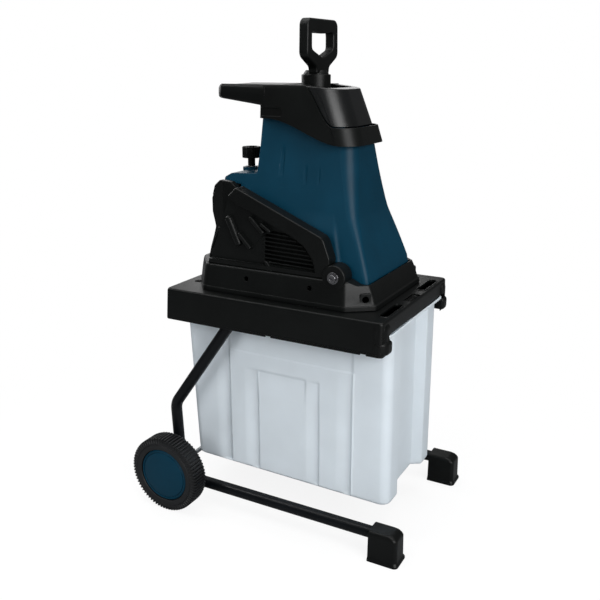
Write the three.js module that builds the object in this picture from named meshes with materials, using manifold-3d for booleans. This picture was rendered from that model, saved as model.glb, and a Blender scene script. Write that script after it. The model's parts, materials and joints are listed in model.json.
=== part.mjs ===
// Electric garden shredder: a tilting feed hopper over a knife disc, on a tray and tube frame
// with two wheels, two feet and a collecting box that slides out under the tray.
// Millimetres. +X is the front (feet, the box pulls out), +Y the left side, +Z up.
// The origin is on the ground under the middle of the whole machine.
import * as THREE from 'three';
import * as BufferGeometryUtils from 'three/addons/utils/BufferGeometryUtils.js';
import Module from 'manifold-3d';

const wasm = await Module();
wasm.setup();

// ---------------------------------------------------------------- driving dimensions
const GAP = 0.3; // play left between pieces that rest on or cut each other
const WALL = 3; // moulded plastic wall
const SIDES = 18; // facets of an ordinary round piece
const ROUND = 14; // facets of a small hub or washer
const SMALL = 10; // facets of a screw, pin or drilled hole

const WHEEL = { radius: 87, x: -226.5, inner: 209, outer: 252.5, bore: 5.3 };
const AXLE_RADIUS = 5;
const FOOT = { rear: 248, front: 313.5, inner: 156, outer: 204, height: 67 };
const TUBE = { radius: 12.5, wall: 1.5, bend: 42, lowY: 180, highY: 167, lowZ: 52, highZ: 450 };
const LEG = { footX: -229, kneeX: -237, kneeZ: 232, topX: -86 }; // rear leg and sloping stay of the tube
const TRAY = { rear: -245, front: 258, half: 184, top: 502, skirt: 433, flare: 3, apron: 469.5 };
const POST = { rear: 240, front: 262, lowFront: 266, ledge: 460, inner: 150, bottom: 436, top: 500 };
const SCREW_X = [-58, 200]; // frame screws along each top rail
const BOX = { rear: -237, floorRear: -220, front: 258, half: 131, bottom: 83, tilt: 8, wall: 2.5 };
const CHANNEL = 21; // depth of the channel down the front of the collecting box
const RIM = { bottom: 463, top: 468, rear: -240, front: 262, half: 159 }; // rim of the collecting box
const BOX_LOCK = { x: 245, length: 13, half: 24, bottom: 470, top: 500 };
const BASE = { bottom: 502.3, top: 560, rear: -219, front: 219, half: 160, taper: 11 };
const FACET = { x: 165, y: 120 }; // ends of the cut front corners on the base's side and front
const BASE_RIM = { z: 551, rear: 162, front: 182 }; // the base's top drops to a lower rim at the front
const HINGE = { x: 138, z: 566, face: 152, boss: 25, bolt: 6, lip: 59 };
const CHAMBER = { x: 62, radius: 95, floor: 548, top: 586 };
const COVER = { inner: 117, outer: 147 };
const REAR = { front: -118, rear: -176, waist: -166, foot: -190, half: 113, top: 720 };
const MOTOR = { x: -100, radius: 50, bottom: 532, top: 640, shaft: 6 };
const FAN = { bottom: 652, radius: 40, blades: 8 };
const PULLEY = { bottom: 505, top: 517, motor: 12, blade: 30, flange: 1.5 };
const SPINDLE = { radius: 7.9, shoulder: 12 };
const DISC = { bottom: 566, top: 570, radius: 88 };
const SHELF = { rear: -156, top: 745 };
const SCREW_BOSS = { radius: 19, top: 747, washer: 749.5 }; // on the shelf, under the lock knob's washer
const COLLAR = { low: 809, high: 857, rear: -70, grip: -187 };
const CAP = { top: 923, seam: 844, slopeFrom: 20, slope: 0.1, wall: 3.5 };
const CHUTE = { x: 22, half: 46, wall: 2, bottom: 590, throat: 840, mouth: 905 };
const PLUNGER = { x: 20, gripX: 26, top: 1047, foot: 688, collar: 29.7 };
const KNOB = { x: -138, radius: 20, bottom: 766.5, top: 790.5, neck: 8, screw: 5 };

// ---------------------------------------------------------------- solids from three.js geometry
/** A closed three.js geometry as a solid that can be joined and cut. */
function solid(geometry) {
  const plain = geometry.clone();
  plain.deleteAttribute('normal');
  plain.deleteAttribute('uv');
  const merged = BufferGeometryUtils.mergeVertices(plain, 1e-4);
  return new wasm.Manifold(new wasm.Mesh({
    numProp: 3,
    vertProperties: new Float32Array(merged.attributes.position.array),
    triVerts: new Uint32Array(merged.index.array),
  }));
}

/** A solid back as a three.js geometry. */
function geometryOf(body) {
  const mesh = body.getMesh();
  const geometry = new THREE.BufferGeometry();
  geometry.setAttribute('position', new THREE.BufferAttribute(new Float32Array(mesh.vertProperties), 3));
  geometry.setIndex(new THREE.BufferAttribute(new Uint32Array(mesh.triVerts), 1));
  return geometry;
}

const join = (...bodies) => bodies.reduce((all, body) => all.add(body));
const cut = (body, ...tools) => tools.reduce((left, tool) => left.subtract(tool), body);

/** A box between two corners. */
function block(low, high) {
  const size = low.map((value, i) => high[i] - value);
  const geometry = new THREE.BoxGeometry(...size);
  geometry.translate(...low.map((value, i) => value + size[i] / 2));
  return solid(geometry);
}

/** A round bar or cone along x, y or z, between two places on that axis. */
function rod(axis, centre, radius, from, to, sides = SIDES, endRadius = radius) {
  const geometry = new THREE.CylinderGeometry(endRadius, radius, to - from, sides);
  const middle = (from + to) / 2;
  if (axis === 'x') geometry.rotateZ(-Math.PI / 2).translate(middle, centre[0], centre[1]);
  if (axis === 'y') geometry.translate(centre[0], middle, centre[1]);
  if (axis === 'z') geometry.rotateX(Math.PI / 2).translate(centre[0], centre[1], middle);
  return solid(geometry);
}

/** A closed [radius, along] profile turned about y. */
function turnedY(profile, sides, x, z) {
  const points = profile.map(([radius, along]) => new THREE.Vector2(radius, along));
  const geometry = new THREE.LatheGeometry(points, sides);
  geometry.translate(x, 0, z);
  return solid(geometry);
}

/** A flat ring or washer along an axis. */
function ring(axis, centre, outer, inner, from, to, sides = SIDES) {
  return cut(rod(axis, centre, outer, from, to, sides), rod(axis, centre, inner, from - 1, to + 1, sides));
}

/** The points of an outline whose corners [u, v, radius] are rounded with arcs. */
function rounded(corners, arcSteps = 3) {
  const points = [];
  corners.forEach(([u, v, radius = 0], i) => {
    const corner = new THREE.Vector2(u, v);
    if (radius === 0) {
      points.push(corner);
      return;
    }
    const [lastU, lastV] = corners.at(i - 1);
    const [nextU, nextV] = corners[(i + 1) % corners.length];
    const back = new THREE.Vector2(lastU, lastV).sub(corner).normalize();
    const ahead = new THREE.Vector2(nextU, nextV).sub(corner).normalize();
    const halfAngle = Math.acos(THREE.MathUtils.clamp(back.dot(ahead), -1, 1)) / 2;
    const start = corner.clone().addScaledVector(back, radius / Math.tan(halfAngle));
    const end = corner.clone().addScaledVector(ahead, radius / Math.tan(halfAngle));
    const bisector = back.clone().add(ahead).normalize();
    const centre = corner.clone().addScaledVector(bisector, radius / Math.sin(halfAngle));
    const first = start.sub(centre).angle();
    let sweep = end.sub(centre).angle() - first;
    if (sweep > Math.PI) sweep -= 2 * Math.PI;
    if (sweep < -Math.PI) sweep += 2 * Math.PI;
    for (let k = 0; k <= arcSteps; k += 1) {
      const angle = first + sweep * k / arcSteps;
      const spoke = new THREE.Vector2(radius * Math.cos(angle), radius * Math.sin(angle));
      points.push(spoke.add(centre));
    }
  });
  return points;
}

/** An outline of Vector2 points extruded by a length along z, from z = 0. */
function extruded(outline, length) {
  return new THREE.ExtrudeGeometry(new THREE.Shape(outline), { depth: length, bevelEnabled: false });
}

/** [u, v] pairs as points of an outline. */
const outlineOf = (pairs) => pairs.map(([u, v]) => new THREE.Vector2(u, v));

/** A plan outline extruded along z. */
function plateZ(outline, from, to) {
  return solid(extruded(outline, to - from).translate(0, 0, from));
}

/** A side-view outline of [x, z] points extruded along y. */
function plateY(outline, from, to) {
  return solid(extruded(outline, to - from).rotateX(Math.PI / 2).translate(0, to, 0));
}

/** A front-view outline of [y, z] points extruded along x. */
function plateX(outline, from, to) {
  return solid(extruded(outline, to - from).rotateX(Math.PI / 2).rotateZ(Math.PI / 2).translate(from, 0, 0));
}

/** Turns a closed triangle list inside out if its enclosed volume comes out negative. */
function facingOut(positions, triangles) {
  const corner = (i) => new THREE.Vector3().fromArray(positions, 3 * i);
  let volume = 0;
  for (let t = 0; t < triangles.length; t += 3) {
    const [a, b, c] = [corner(triangles[t]), corner(triangles[t + 1]), corner(triangles[t + 2])];
    volume += a.dot(b.cross(c));
  }
  return volume < 0 ? triangles.reverse() : triangles;
}

/** Skin over rings of points, capped at both ends, or closed on itself when looped. */
function skin(rings, looped = false) {
  const count = rings[0].length;
  const positions = rings.flat().flatMap((p) => [p.x, p.y, p.z]);
  const triangles = [];
  const bands = looped ? rings.length : rings.length - 1;
  for (let band = 0; band < bands; band += 1) {
    const low = band * count;
    const high = ((band + 1) % rings.length) * count;
    for (let i = 0; i < count; i += 1) {
      const next = (i + 1) % count;
      triangles.push(low + i, low + next, high + next, low + i, high + next, high + i);
    }
  }
  if (!looped) {
    const flat = (points) => points.map(({ x, y }) => new THREE.Vector2(x, y));
    const capOf = (points) => THREE.ShapeUtils.triangulateShape(flat(points), []);
    const last = (rings.length - 1) * count;
    capOf(rings[0]).forEach(([a, b, c]) => triangles.push(c, b, a));
    capOf(rings.at(-1)).forEach(([a, b, c]) => triangles.push(last + a, last + b, last + c));
  }
  const geometry = new THREE.BufferGeometry();
  geometry.setAttribute('position', new THREE.Float32BufferAttribute(positions, 3));
  geometry.setIndex(facingOut(positions, triangles));
  return solid(geometry);
}

/** A flat outline lifted to a height. */
const at = (z, outline) => outline.map((p) => new THREE.Vector3(p.x, p.y, z));

/** Rounded rectangle in plan, counter-clockwise, with its own rear and front corner radii. */
function planRectangle(rear, front, half, rearRadius, frontRadius, arcSteps = 3) {
  return rounded([
    [rear, -half, rearRadius],
    [front, -half, frontRadius],
    [front, half, frontRadius],
    [rear, half, rearRadius],
  ], arcSteps);
}

/** A soft step from 1 down to 0 as x runs from start to end. */
function easeDown(x, start, end) {
  return 1 - THREE.MathUtils.smoothstep(x, start, end);
}

/** The same solid on the other side of the machine. */
function mirrored(body) {
  const geometry = geometryOf(body);
  geometry.scale(1, -1, 1);
  const index = geometry.index.array;
  for (let i = 0; i < index.length; i += 3) [index[i], index[i + 1]] = [index[i + 1], index[i]];
  return solid(geometry);
}

// ---------------------------------------------------------------- running gear and frame
/** A centre line through corner points with rounded bends. */
function bentPath(corners, bendRadius, bendSteps) {
  const path = [corners[0]];
  for (let i = 1; i < corners.length - 1; i += 1) {
    const back = corners[i - 1].clone().sub(corners[i]).normalize();
    const ahead = corners[i + 1].clone().sub(corners[i]).normalize();
    const halfAngle = back.angleTo(ahead) / 2;
    const reach = bendRadius / Math.tan(halfAngle);
    const bisector = back.clone().add(ahead).normalize();
    const centre = corners[i].clone().addScaledVector(bisector, bendRadius / Math.sin(halfAngle));
    const start = corners[i].clone().addScaledVector(back, reach).sub(centre);
    const end = corners[i].clone().addScaledVector(ahead, reach).sub(centre);
    const sweep = start.angleTo(end);
    for (let k = 0; k <= bendSteps; k += 1) {
      const first = Math.sin(sweep * (1 - k / bendSteps)) / Math.sin(sweep);
      const second = Math.sin(sweep * k / bendSteps) / Math.sin(sweep);
      path.push(centre.clone().addScaledVector(start, first).addScaledVector(end, second));
    }
  }
  path.push(corners.at(-1));
  return path;
}

/** Circles of points square to a path. */
function ringsAlong(path, radius, sides) {
  return path.map((point, i) => {
    const before = path[Math.max(i - 1, 0)];
    const after = path[Math.min(i + 1, path.length - 1)];
    const tangent = after.clone().sub(before).normalize();
    const across = new THREE.Vector3(0, 1, 0).addScaledVector(tangent, -tangent.y).normalize();
    const up = across.clone().cross(tangent);
    return Array.from({ length: sides }, (_, k) => {
      const angle = 2 * Math.PI * k / sides;
      const rim = point.clone().addScaledVector(across, radius * Math.cos(angle));
      return rim.addScaledVector(up, radius * Math.sin(angle));
    });
  });
}

/** Steel tube of the right side: ground rail, rear leg, sloping stay and top rail. */
function frameTube() {
  const sides = 12;
  const path = bentPath([
    new THREE.Vector3(FOOT.front - 16, -TUBE.lowY, TUBE.lowZ),
    new THREE.Vector3(LEG.footX, -TUBE.lowY, TUBE.lowZ),
    new THREE.Vector3(LEG.kneeX, -TUBE.lowY, LEG.kneeZ),
    new THREE.Vector3(LEG.topX, -TUBE.highY, TUBE.highZ),
    new THREE.Vector3(POST.rear - 4, -TUBE.highY, TUBE.highZ),
  ], TUBE.bend, 3);
  const outer = ringsAlong(path, TUBE.radius, sides);
  const inner = ringsAlong(path, TUBE.radius - TUBE.wall, sides);
  const tube = skin([...outer, ...inner.reverse()], true);
  const axleHole = rod('y', [WHEEL.x, WHEEL.radius], AXLE_RADIUS + GAP, -TUBE.lowY - 20, -TUBE.lowY + 20);
  const screwHoles = SCREW_X.map((x) => (
    rod('z', [x, -TUBE.highY], 3.4, TUBE.highZ - 20, TUBE.highZ + 20, SMALL)));
  return cut(tube, axleHole, ...screwHoles);
}

/** Plastic foot with a socket for the ground rail and a small flared lip at the floor. */
function foot() {
  const middle = -(FOOT.inner + FOOT.outer) / 2;
  const half = (FOOT.outer - FOOT.inner) / 2;
  const section = (z, grow) => at(z, rounded([
    [FOOT.rear, middle - half - grow, 3],
    [FOOT.front - 3 + grow, middle - half - grow, 10],
    [FOOT.front - 3 + grow, middle + half + grow, 10],
    [FOOT.rear, middle + half + grow, 3],
  ]));
  const body = skin([
    section(0, 3),
    section(4, 3),
    section(9, 0),
    section(FOOT.height - 10, -0.5),
    section(FOOT.height - 4, -3),
    section(FOOT.height, -8),
  ]);
  return cut(body, rod('x', [-TUBE.lowY, TUBE.lowZ], TUBE.radius + GAP, FOOT.rear - 1, FOOT.front - 15.5));
}

/** Moulded wheel: tread, flat sides, a dished seat for the hub cap and an axle bore. */
function wheel() {
  const seat = -WHEEL.outer + 16;
  const profile = [
    [WHEEL.bore, -WHEEL.outer + 12], [22, -WHEEL.outer + 12], [22, seat], [61, seat],
    [61, -WHEEL.outer], [WHEEL.radius - 5, -WHEEL.outer], [WHEEL.radius, -WHEEL.outer + 5],
    [WHEEL.radius, -WHEEL.inner - 5], [WHEEL.radius - 5, -WHEEL.inner], [66, -WHEEL.inner],
    [66, -WHEEL.inner - 18], [22, -WHEEL.inner - 18], [22, -WHEEL.inner], [WHEEL.bore, -WHEEL.inner],
    [WHEEL.bore, -WHEEL.outer + 12],
  ];
  return turnedY(profile, 28, WHEEL.x, WHEEL.radius);
}

/** Round cover pressed into the wheel's outer side, hiding the axle end. */
function hubCap() {
  const seat = -WHEEL.outer + 16 - GAP;
  const profile = [
    [0, -WHEEL.outer - 0.5], [52, -WHEEL.outer + 0.5], [57, -WHEEL.outer + 2], [59.5, -WHEEL.outer + 4],
    [59.5, seat], [54, seat], [54, -WHEEL.outer + 5], [0, -WHEEL.outer + 3],
  ];
  return turnedY(profile, 32, WHEEL.x, WHEEL.radius);
}

/** Spring-steel push nut that holds the wheel on the axle. */
function pushNut() {
  const face = -WHEEL.outer + 12;
  return ring('y', [WHEEL.x, WHEEL.radius], 9, AXLE_RADIUS + 0.05, face - 3 - GAP, face - GAP, SMALL);
}

/** Spacer washer between the frame tube and the wheel. */
function axleWasher() {
  const centre = [WHEEL.x, WHEEL.radius];
  return ring('y', centre, 10, AXLE_RADIUS + GAP, -WHEEL.inner + GAP, -TUBE.lowY - 14, SMALL);
}

function axle() {
  const reach = WHEEL.outer - 7;
  return rod('y', [WHEEL.x, WHEEL.radius], AXLE_RADIUS, -reach, reach, SMALL);
}

/** Screw that holds the tray on the top rail: head under the rail, thread up in a tray boss. */
function frameScrew(x) {
  const headTop = TUBE.highZ - TUBE.radius - GAP;
  const head = rod('z', [x, -TUBE.highY], 6, headTop - 4, headTop, SMALL);
  const shank = rod('z', [x, -TUBE.highY], 2.9, headTop - 1, TRAY.top - 8, SMALL);
  return join(head, shank);
}

// ---------------------------------------------------------------- tray and collecting box
/** Front corner post of the right side: closes the end of the top rail, wider at its foot. */
function cornerPost() {
  const outside = -TRAY.half - TRAY.flare;
  const section = (front, from, to) => plateZ(rounded([
    [POST.rear, outside, 4], [front, outside, 10], [front, -POST.inner, 4], [POST.rear, -POST.inner, 4],
  ]), from, to);
  return join(
    section(POST.lowFront, POST.bottom, POST.ledge),
    section(POST.front, POST.ledge - 1, POST.top),
  );
}

/** Tray that carries the machine: top plate, long side skirts, front corner posts and openings. */
function tray() {
  const corner = 8;
  const level = (z, grow, radius = corner) => at(z, planRectangle(
    TRAY.rear - grow, TRAY.front + Math.min(grow, 0), TRAY.half + grow, radius, radius));
  const outer = skin([level(TRAY.skirt, TRAY.flare), level(TRAY.top - 3, 0), level(TRAY.top, -2.5)]);
  const inner = skin([
    level(TRAY.skirt - 1, TRAY.flare - WALL, corner - WALL),
    level(TRAY.top - WALL, -WALL, corner - WALL),
  ]);
  const behind = POST.rear - 6;
  const rimReach = RIM.half + 2;
  const frontGap = block([behind, -POST.inner, TRAY.skirt - 2], [TRAY.front + 2, POST.inner, TRAY.apron]);
  const rimPassage = block([behind, -rimReach, RIM.bottom - 1.5], [POST.front + 2, rimReach, TRAY.apron]);
  const railScrews = SCREW_X.flatMap((x) => [-1, 1].map((side) => [x, side * TUBE.highY]));
  const railTop = TUBE.highZ + TUBE.radius;
  const bosses = railScrews.map((centre) => rod('z', centre, 6, railTop + GAP, TRAY.top - 1, SMALL));
  const screwHoles = railScrews.map((centre) => rod('z', centre, 3.2, TUBE.highZ, TRAY.top - 7, SMALL));
  const through = [TRAY.top - 12, TRAY.top + 2];
  const slots = [-1, 1].map((side) => plateZ(
    planRectangle(233, 251, 40, 8, 8).map((p) => new THREE.Vector2(p.x, p.y + side * 103)), ...through));
  const lockHalf = BOX_LOCK.half + 4;
  const lockOpening = block([BOX_LOCK.x - 9, -lockHalf, through[0]], [BOX_LOCK.x + 9, lockHalf, through[1]]);
  const outlet = plateZ(planRectangle(100, 160, 55, 6, 6), ...through);
  const shaftHole = rod('z', [CHAMBER.x, 0], 14, ...through);
  const rearHoles = [-1, 1].map((side) => rod('z', [-214, side * 107], 5, ...through, SMALL));
  const reach = TRAY.half + 6;
  const notches = [4, 214].map((x) => block([x, -reach, TRAY.skirt - 2], [x + 12, reach, TRAY.skirt + 3]));
  const shell = join(cut(outer, inner, frontGap), cornerPost(), mirrored(cornerPost()), ...bosses);
  return cut(
    shell, rimPassage, ...screwHoles, ...slots, lockOpening, outlet, shaftHole, ...rearHoles, ...notches);
}

/** Plan outline of the collecting box, with the channel in the middle of its front face. */
function boxOutline(rear, front, half, channel, inset = 0) {
  const mouth = 76 + inset;
  const depth = front - inset - channel;
  return rounded([
    [rear + inset, -half + inset, 18], [front - inset, -half + inset, 20],
    [front - inset, -mouth, 6], [depth, -mouth + 14, 6],
    [depth, mouth - 14, 6], [front - inset, mouth, 6],
    [front - inset, half - inset, 20], [rear + inset, half - inset, 18],
  ], 3);
}

/** Open collecting box whose outward rim rides on the frame's top rails. */
function collectionBox() {
  const floorAt = (x) => BOX.bottom + BOX.tilt * (BOX.front - x) / (BOX.front - BOX.floorRear);
  const lowOutline = (inset) => boxOutline(BOX.floorRear, BOX.front + 1, BOX.half - 1, CHANNEL, inset);
  const low = (rise, inset) => lowOutline(inset).map(({ x, y }) => (
    new THREE.Vector3(x, y, floorAt(x) + rise)));
  const high = (z, inset) => at(z, boxOutline(BOX.rear, BOX.front - 2, BOX.half + 1, CHANNEL, inset));
  const rim = (z, inset) => at(z, boxOutline(RIM.rear, RIM.front, RIM.half, 1, inset));
  const { wall } = BOX;
  const shell = skin([
    low(0, 5),
    low(5, 0),
    high(RIM.bottom - 2.4, 0),
    rim(RIM.bottom, 0),
    rim(RIM.top, 0),
    rim(RIM.top, wall),
    rim(RIM.bottom + wall, wall),
    high(RIM.bottom + wall, wall),
    low(5 + wall, wall),
    low(wall, 5 + wall),
  ]);
  const band = (x0, x1, z0, z1) => [-1, 1].map((side) => block(
    [x0, side > 0 ? BOX.half - 2 : -BOX.half - 3, z0], [x1, side > 0 ? BOX.half + 3 : -BOX.half + 2, z1]));
  const foot = BOX.bottom + BOX.tilt + 8;
  const reliefs = [
    ...band(-156, -127, foot, 452),
    ...band(-118, -44, foot, 333),
    ...band(102, 144, foot, 333),
    ...band(-118, 144, 332, 371),
  ];
  const lockHalf = BOX_LOCK.half + 2;
  const lockSlot = block(
    [BOX_LOCK.x - 8, -lockHalf, RIM.bottom - 3], [BOX_LOCK.x + 8, lockHalf, RIM.top + 1]);
  return cut(join(shell, ...reliefs), lockSlot);
}

/** Sliding catch in the tray's front edge: pushed down, it drops into the slot of the box rim. */
function boxLockSlider() {
  const halfLength = BOX_LOCK.length / 2;
  const body = block(
    [BOX_LOCK.x - halfLength, -BOX_LOCK.half, BOX_LOCK.bottom],
    [BOX_LOCK.x + halfLength, BOX_LOCK.half, BOX_LOCK.top],
  );
  const gripHalf = BOX_LOCK.half - 5;
  const grips = [-4, 0, 4].map((offset) => block(
    [BOX_LOCK.x + offset - 1, -gripHalf, BOX_LOCK.top - 1],
    [BOX_LOCK.x + offset + 1, gripHalf, BOX_LOCK.top + 1.5],
  ));
  return join(body, ...grips);
}

// ---------------------------------------------------------------- machine housing
/** Plan outline of the base housing: bulged rear, straight sides and a front with cut corners. */
function baseOutline(inset, shrink = 0) {
  const rear = BASE.rear + shrink + inset;
  const front = BASE.front - 2.05 * shrink - inset;
  const half = BASE.half - shrink - inset;
  const bulgeX = -166 + 0.4 * shrink;
  const facetX = FACET.x - 0.4 * shrink;
  const facetY = FACET.y - 0.4 * shrink - inset;
  return rounded([
    [rear, -92 + inset, 20], [bulgeX, -half, 26], [facetX, -half, 14], [front, -facetY, 12],
    [front, facetY, 12], [facetX, half, 14], [bulgeX, half, 26], [rear, 92 - inset, 20],
  ]);
}

/** Everything below the base's top, which drops to a lower rim at the front. */
function underBaseTop(drop) {
  const top = BASE.top + 1 - drop;
  const rim = BASE_RIM.z - drop;
  return plateY(outlineOf([
    [-260, 480], [260, 480], [260, rim], [BASE_RIM.front, rim], [BASE_RIM.rear, top], [-260, top],
  ]), -200, 200);
}

/** Hinge boss of one side with the web that carries it. */
function hingeEar(side) {
  const along = (near, far) => (side > 0 ? [near, far] : [-far, -near]);
  const [low, high] = along(COVER.inner, COVER.outer - 8);
  return join(
    rod('y', [HINGE.x, HINGE.z], HINGE.boss, ...along(COVER.inner, HINGE.face)),
    block([115, low, BASE.top - 12], [160, high, HINGE.z]),
  );
}

/** Round hole square to the cut front corner of one side. */
function facetHole(side) {
  const drill = new THREE.CylinderGeometry(5.5, 5.5, 24, SMALL);
  const turn = Math.atan2(BASE.front - FACET.x, BASE.half - FACET.y);
  drill.rotateZ(-Math.PI / 2).rotateZ(side * turn).translate(198, side * 129.5, 525);
  return solid(drill);
}

/** Base housing: outer skirt, deck, knife chamber with its outlet, bearing boss and hinge bosses. */
function baseHousing() {
  const skirt = skin([
    at(BASE.bottom, baseOutline(0)),
    at(BASE.top - 2, baseOutline(0, BASE.taper)),
    at(BASE.top, baseOutline(2, BASE.taper)),
  ]);
  const cavity = skin([
    at(BASE.bottom - 1, baseOutline(WALL)),
    at(BASE.top - WALL, baseOutline(WALL, BASE.taper)),
  ]);
  const outer = skirt.intersect(underBaseTop(0));
  const inner = cavity.intersect(underBaseTop(WALL));
  const centre = [CHAMBER.x, 0];
  const lipRoom = block([133, -114, BASE.bottom - 1], [197.6, 114, BASE.top + 1]);
  const pan = rod('z', centre, CHAMBER.radius + WALL, CHAMBER.floor, CHAMBER.top, 32);
  const well = rod('z', centre, CHAMBER.radius, CHAMBER.floor + WALL, CHAMBER.top + 1, 32);
  const bearingBoss = rod('z', centre, 22, 521, CHAMBER.floor + 1);
  const bearingBore = rod('z', centre, 17.6, 518, CHAMBER.floor - 2);
  const spindleBore = rod('z', centre, 9, 518, CHAMBER.floor + 5);
  const outletWalls = plateZ(planRectangle(102, 158, 52, 5, 5), BASE.bottom, CHAMBER.floor + 1);
  const outlet = plateZ(planRectangle(105, 155, 49, 4, 4), BASE.bottom - 1, CHAMBER.floor + WALL + 1);
  const motorHole = rod('z', [MOTOR.x, 0], MOTOR.radius + 2, BASE.bottom, BASE.top + 1, SIDES);
  const boltBore = rod('y', [HINGE.x, HINGE.z], HINGE.bolt + GAP, -HINGE.face - 1, HINGE.face + 1, SMALL);
  const screwSeats = [-60, 87].flatMap((x) => [
    rod('y', [x, 539], 5, BASE.half - 12, BASE.half + 4, SMALL),
    rod('y', [x, 539], 5, -BASE.half - 4, -BASE.half + 12, SMALL),
  ]);
  const pillars = [-1, 1].map((side) => rod('z', [-150, side * 80], 7, BASE.bottom, BASE.top - 1, SMALL));
  const shell = join(cut(outer, inner), ...pillars);
  const opened = cut(shell, cut(lipRoom, pan), motorHole);
  return cut(
    join(opened, pan, bearingBoss, outletWalls, hingeEar(-1), hingeEar(1)),
    well, bearingBore, spindleBore, outlet, boltBore, facetHole(-1), facetHole(1), ...screwSeats,
  );
}

/** Side-view outline of a side cover; inset shrinks it for the hollow behind. */
function coverOutline(inset = 0) {
  const floor = BASE.top + GAP + inset;
  return rounded([
    [-160 + inset, floor], [126 - inset, floor], [123 - inset, 600 - inset, 10],
    [104 - inset, 636 - inset, 24], [22, 678 - inset, 200], [-90, 727 - inset, 6], [-113 + inset, 701, 8],
  ], 3);
}

/** Right side cover: proud arched panel with air louvres and slanted stiffening ribs. */
function sideCover() {
  const shell = cut(
    plateY(coverOutline(), -COVER.outer, -COVER.inner),
    plateY(coverOutline(WALL), -COVER.outer + WALL, -COVER.inner + 1),
    rod('y', [HINGE.x, HINGE.z], HINGE.boss + GAP, -COVER.outer - 1, -COVER.inner + 1),
  );
  const louvres = Array.from({ length: 7 }, (_, i) => {
    const z = 572 + 11.5 * i;
    return block([-22 + 4 * i, -COVER.outer - 1, z], [100 - 7 * i, -COVER.outer + WALL + 1, z + 5]);
  });
  const ribs = [[-57, 668, -24, 637], [-88, 630, -54, 598], [-110, 664, -82, 612]].map(([x0, z0, x1, z1]) => {
    const length = Math.hypot(x1 - x0, z1 - z0);
    const bar = new THREE.BoxGeometry(length, 4, 9);
    bar.rotateY(Math.atan2(z0 - z1, x1 - x0));
    bar.translate((x0 + x1) / 2, -COVER.outer - 1.5, (z0 + z1) / 2);
    return solid(bar);
  });
  return join(cut(shell, ...louvres), ...ribs);
}

/** Side-view outline of the rear housing with the sloping switch face; inset is for its hollow. */
function rearOutline(inset = 0) {
  const rear = REAR.rear + inset;
  const top = REAR.top - inset;
  const foot = REAR.foot + inset;
  const overlap = inset > 0 ? 1 : 0;
  const floor = BASE.top + (inset > 0 ? -1 : GAP);
  return outlineOf([
    [REAR.front + overlap, floor], [REAR.front + overlap, top], [-152, top],
    [-164 + inset * 0.8, 714 - inset * 0.6], [rear, 690], [rear, 660], [REAR.waist + inset, 630],
    [foot, BASE.top + 6], [foot, floor],
  ]);
}

/** Unit direction out of the sloping switch face, and a point in the middle of it. */
const SWITCH_NORMAL = new THREE.Vector3(-24, 0, 12).normalize();
const SWITCH_CENTRE = new THREE.Vector3(-170, 0, 702);

/** A round bar square to the switch face, from one depth to another along its normal. */
function switchRod(y, radius, from, to, sides = 12) {
  const geometry = new THREE.CylinderGeometry(radius, radius, to - from, sides);
  const turn = new THREE.Quaternion().setFromUnitVectors(new THREE.Vector3(0, 1, 0), SWITCH_NORMAL);
  geometry.applyQuaternion(turn);
  const middle = SWITCH_CENTRE.clone().addScaledVector(SWITCH_NORMAL, (from + to) / 2);
  return solid(geometry.translate(middle.x, y, middle.z));
}

/** Place across the switch face, radius and height above it of each push button. */
const SWITCHES = {
  off: { y: -72, radius: 11, height: 9 },
  on: { y: -45, radius: 8, height: 4 },
  reset: { y: -24, radius: 5, height: 4 },
};
const INLET = { rear: -178, front: -158, low: 641, high: 675, right: 29, left: 71 };

/** Rear housing: closes the motor bay, carries the switches, the inlet and the lock screw's seat. */
function rearHousing() {
  const body = plateY(rearOutline(), -REAR.half, REAR.half);
  const hollow = plateY(rearOutline(WALL), -REAR.half + WALL, REAR.half - WALL);
  const cornerCuts = [-1, 1].map((side) => plateZ(outlineOf([
    [-198, side * 92], [-136, side * (REAR.half + 1)], [-198, side * (REAR.half + 1)],
  ]), BASE.top, REAR.top + 1));
  const cornerWalls = [-1, 1].map((side) => plateZ(outlineOf([
    [-193, side * 88], [-190, side * 91], [-136, side * (REAR.half - 1)], [-136, side * (REAR.half - 4)],
  ]), BASE.top + 1, REAR.top - 1).intersect(body));
  const seat = rod('z', [KNOB.x, 0], 16, REAR.top - 18, REAR.top - 2);
  const recess = rod('z', [KNOB.x, 0], 13, REAR.top - 14, REAR.top + 1);
  const vents = Array.from({ length: 6 }, (_, i) => {
    const right = -70 + 24 * i;
    return block([-200, right, 576], [-160, right + 12, 622]);
  });
  const buttonHoles = Object.values(SWITCHES).map(({ y, radius }) => switchRod(y, radius + GAP, -12, 8));
  const inletHole = block(
    [INLET.rear - 8, INLET.right, INLET.low], [INLET.front + 2, INLET.left, INLET.high]);
  return cut(
    join(cut(body, hollow, ...cornerCuts), ...cornerWalls, seat),
    recess, ...vents, ...buttonHoles, inletHole,
  );
}

/** Push button: cap outside, flange behind the panel. */
function pushButton({ y, radius, height }) {
  return join(switchRod(y, radius, -7, height), switchRod(y, radius + 2, -9, -6.5));
}

/** Recessed mains inlet with two flat pins. */
function powerInlet() {
  const { rear, front, low, high, right, left } = INLET;
  const shell = cut(
    block([rear, right + GAP, low + GAP], [front, left - GAP, high - GAP]),
    block([rear - 1, right + 4, low + 4], [front - 4, left - 4, high - 4]),
  );
  const pins = [43, 55].map((y) => block([rear + 5, y - 1, 654], [front - 3, y + 3, 662]));
  return join(shell, ...pins);
}

// ---------------------------------------------------------------- drive
/** Motor field pack with the mounting flange that stands on the base deck. */
function motorStator() {
  const can = ring('z', [MOTOR.x, 0], MOTOR.radius, 36, MOTOR.bottom, MOTOR.top);
  const flange = ring('z', [MOTOR.x, 0], MOTOR.radius + 9, 40, BASE.top + GAP, BASE.top + 6);
  return join(can, flange);
}

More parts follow.
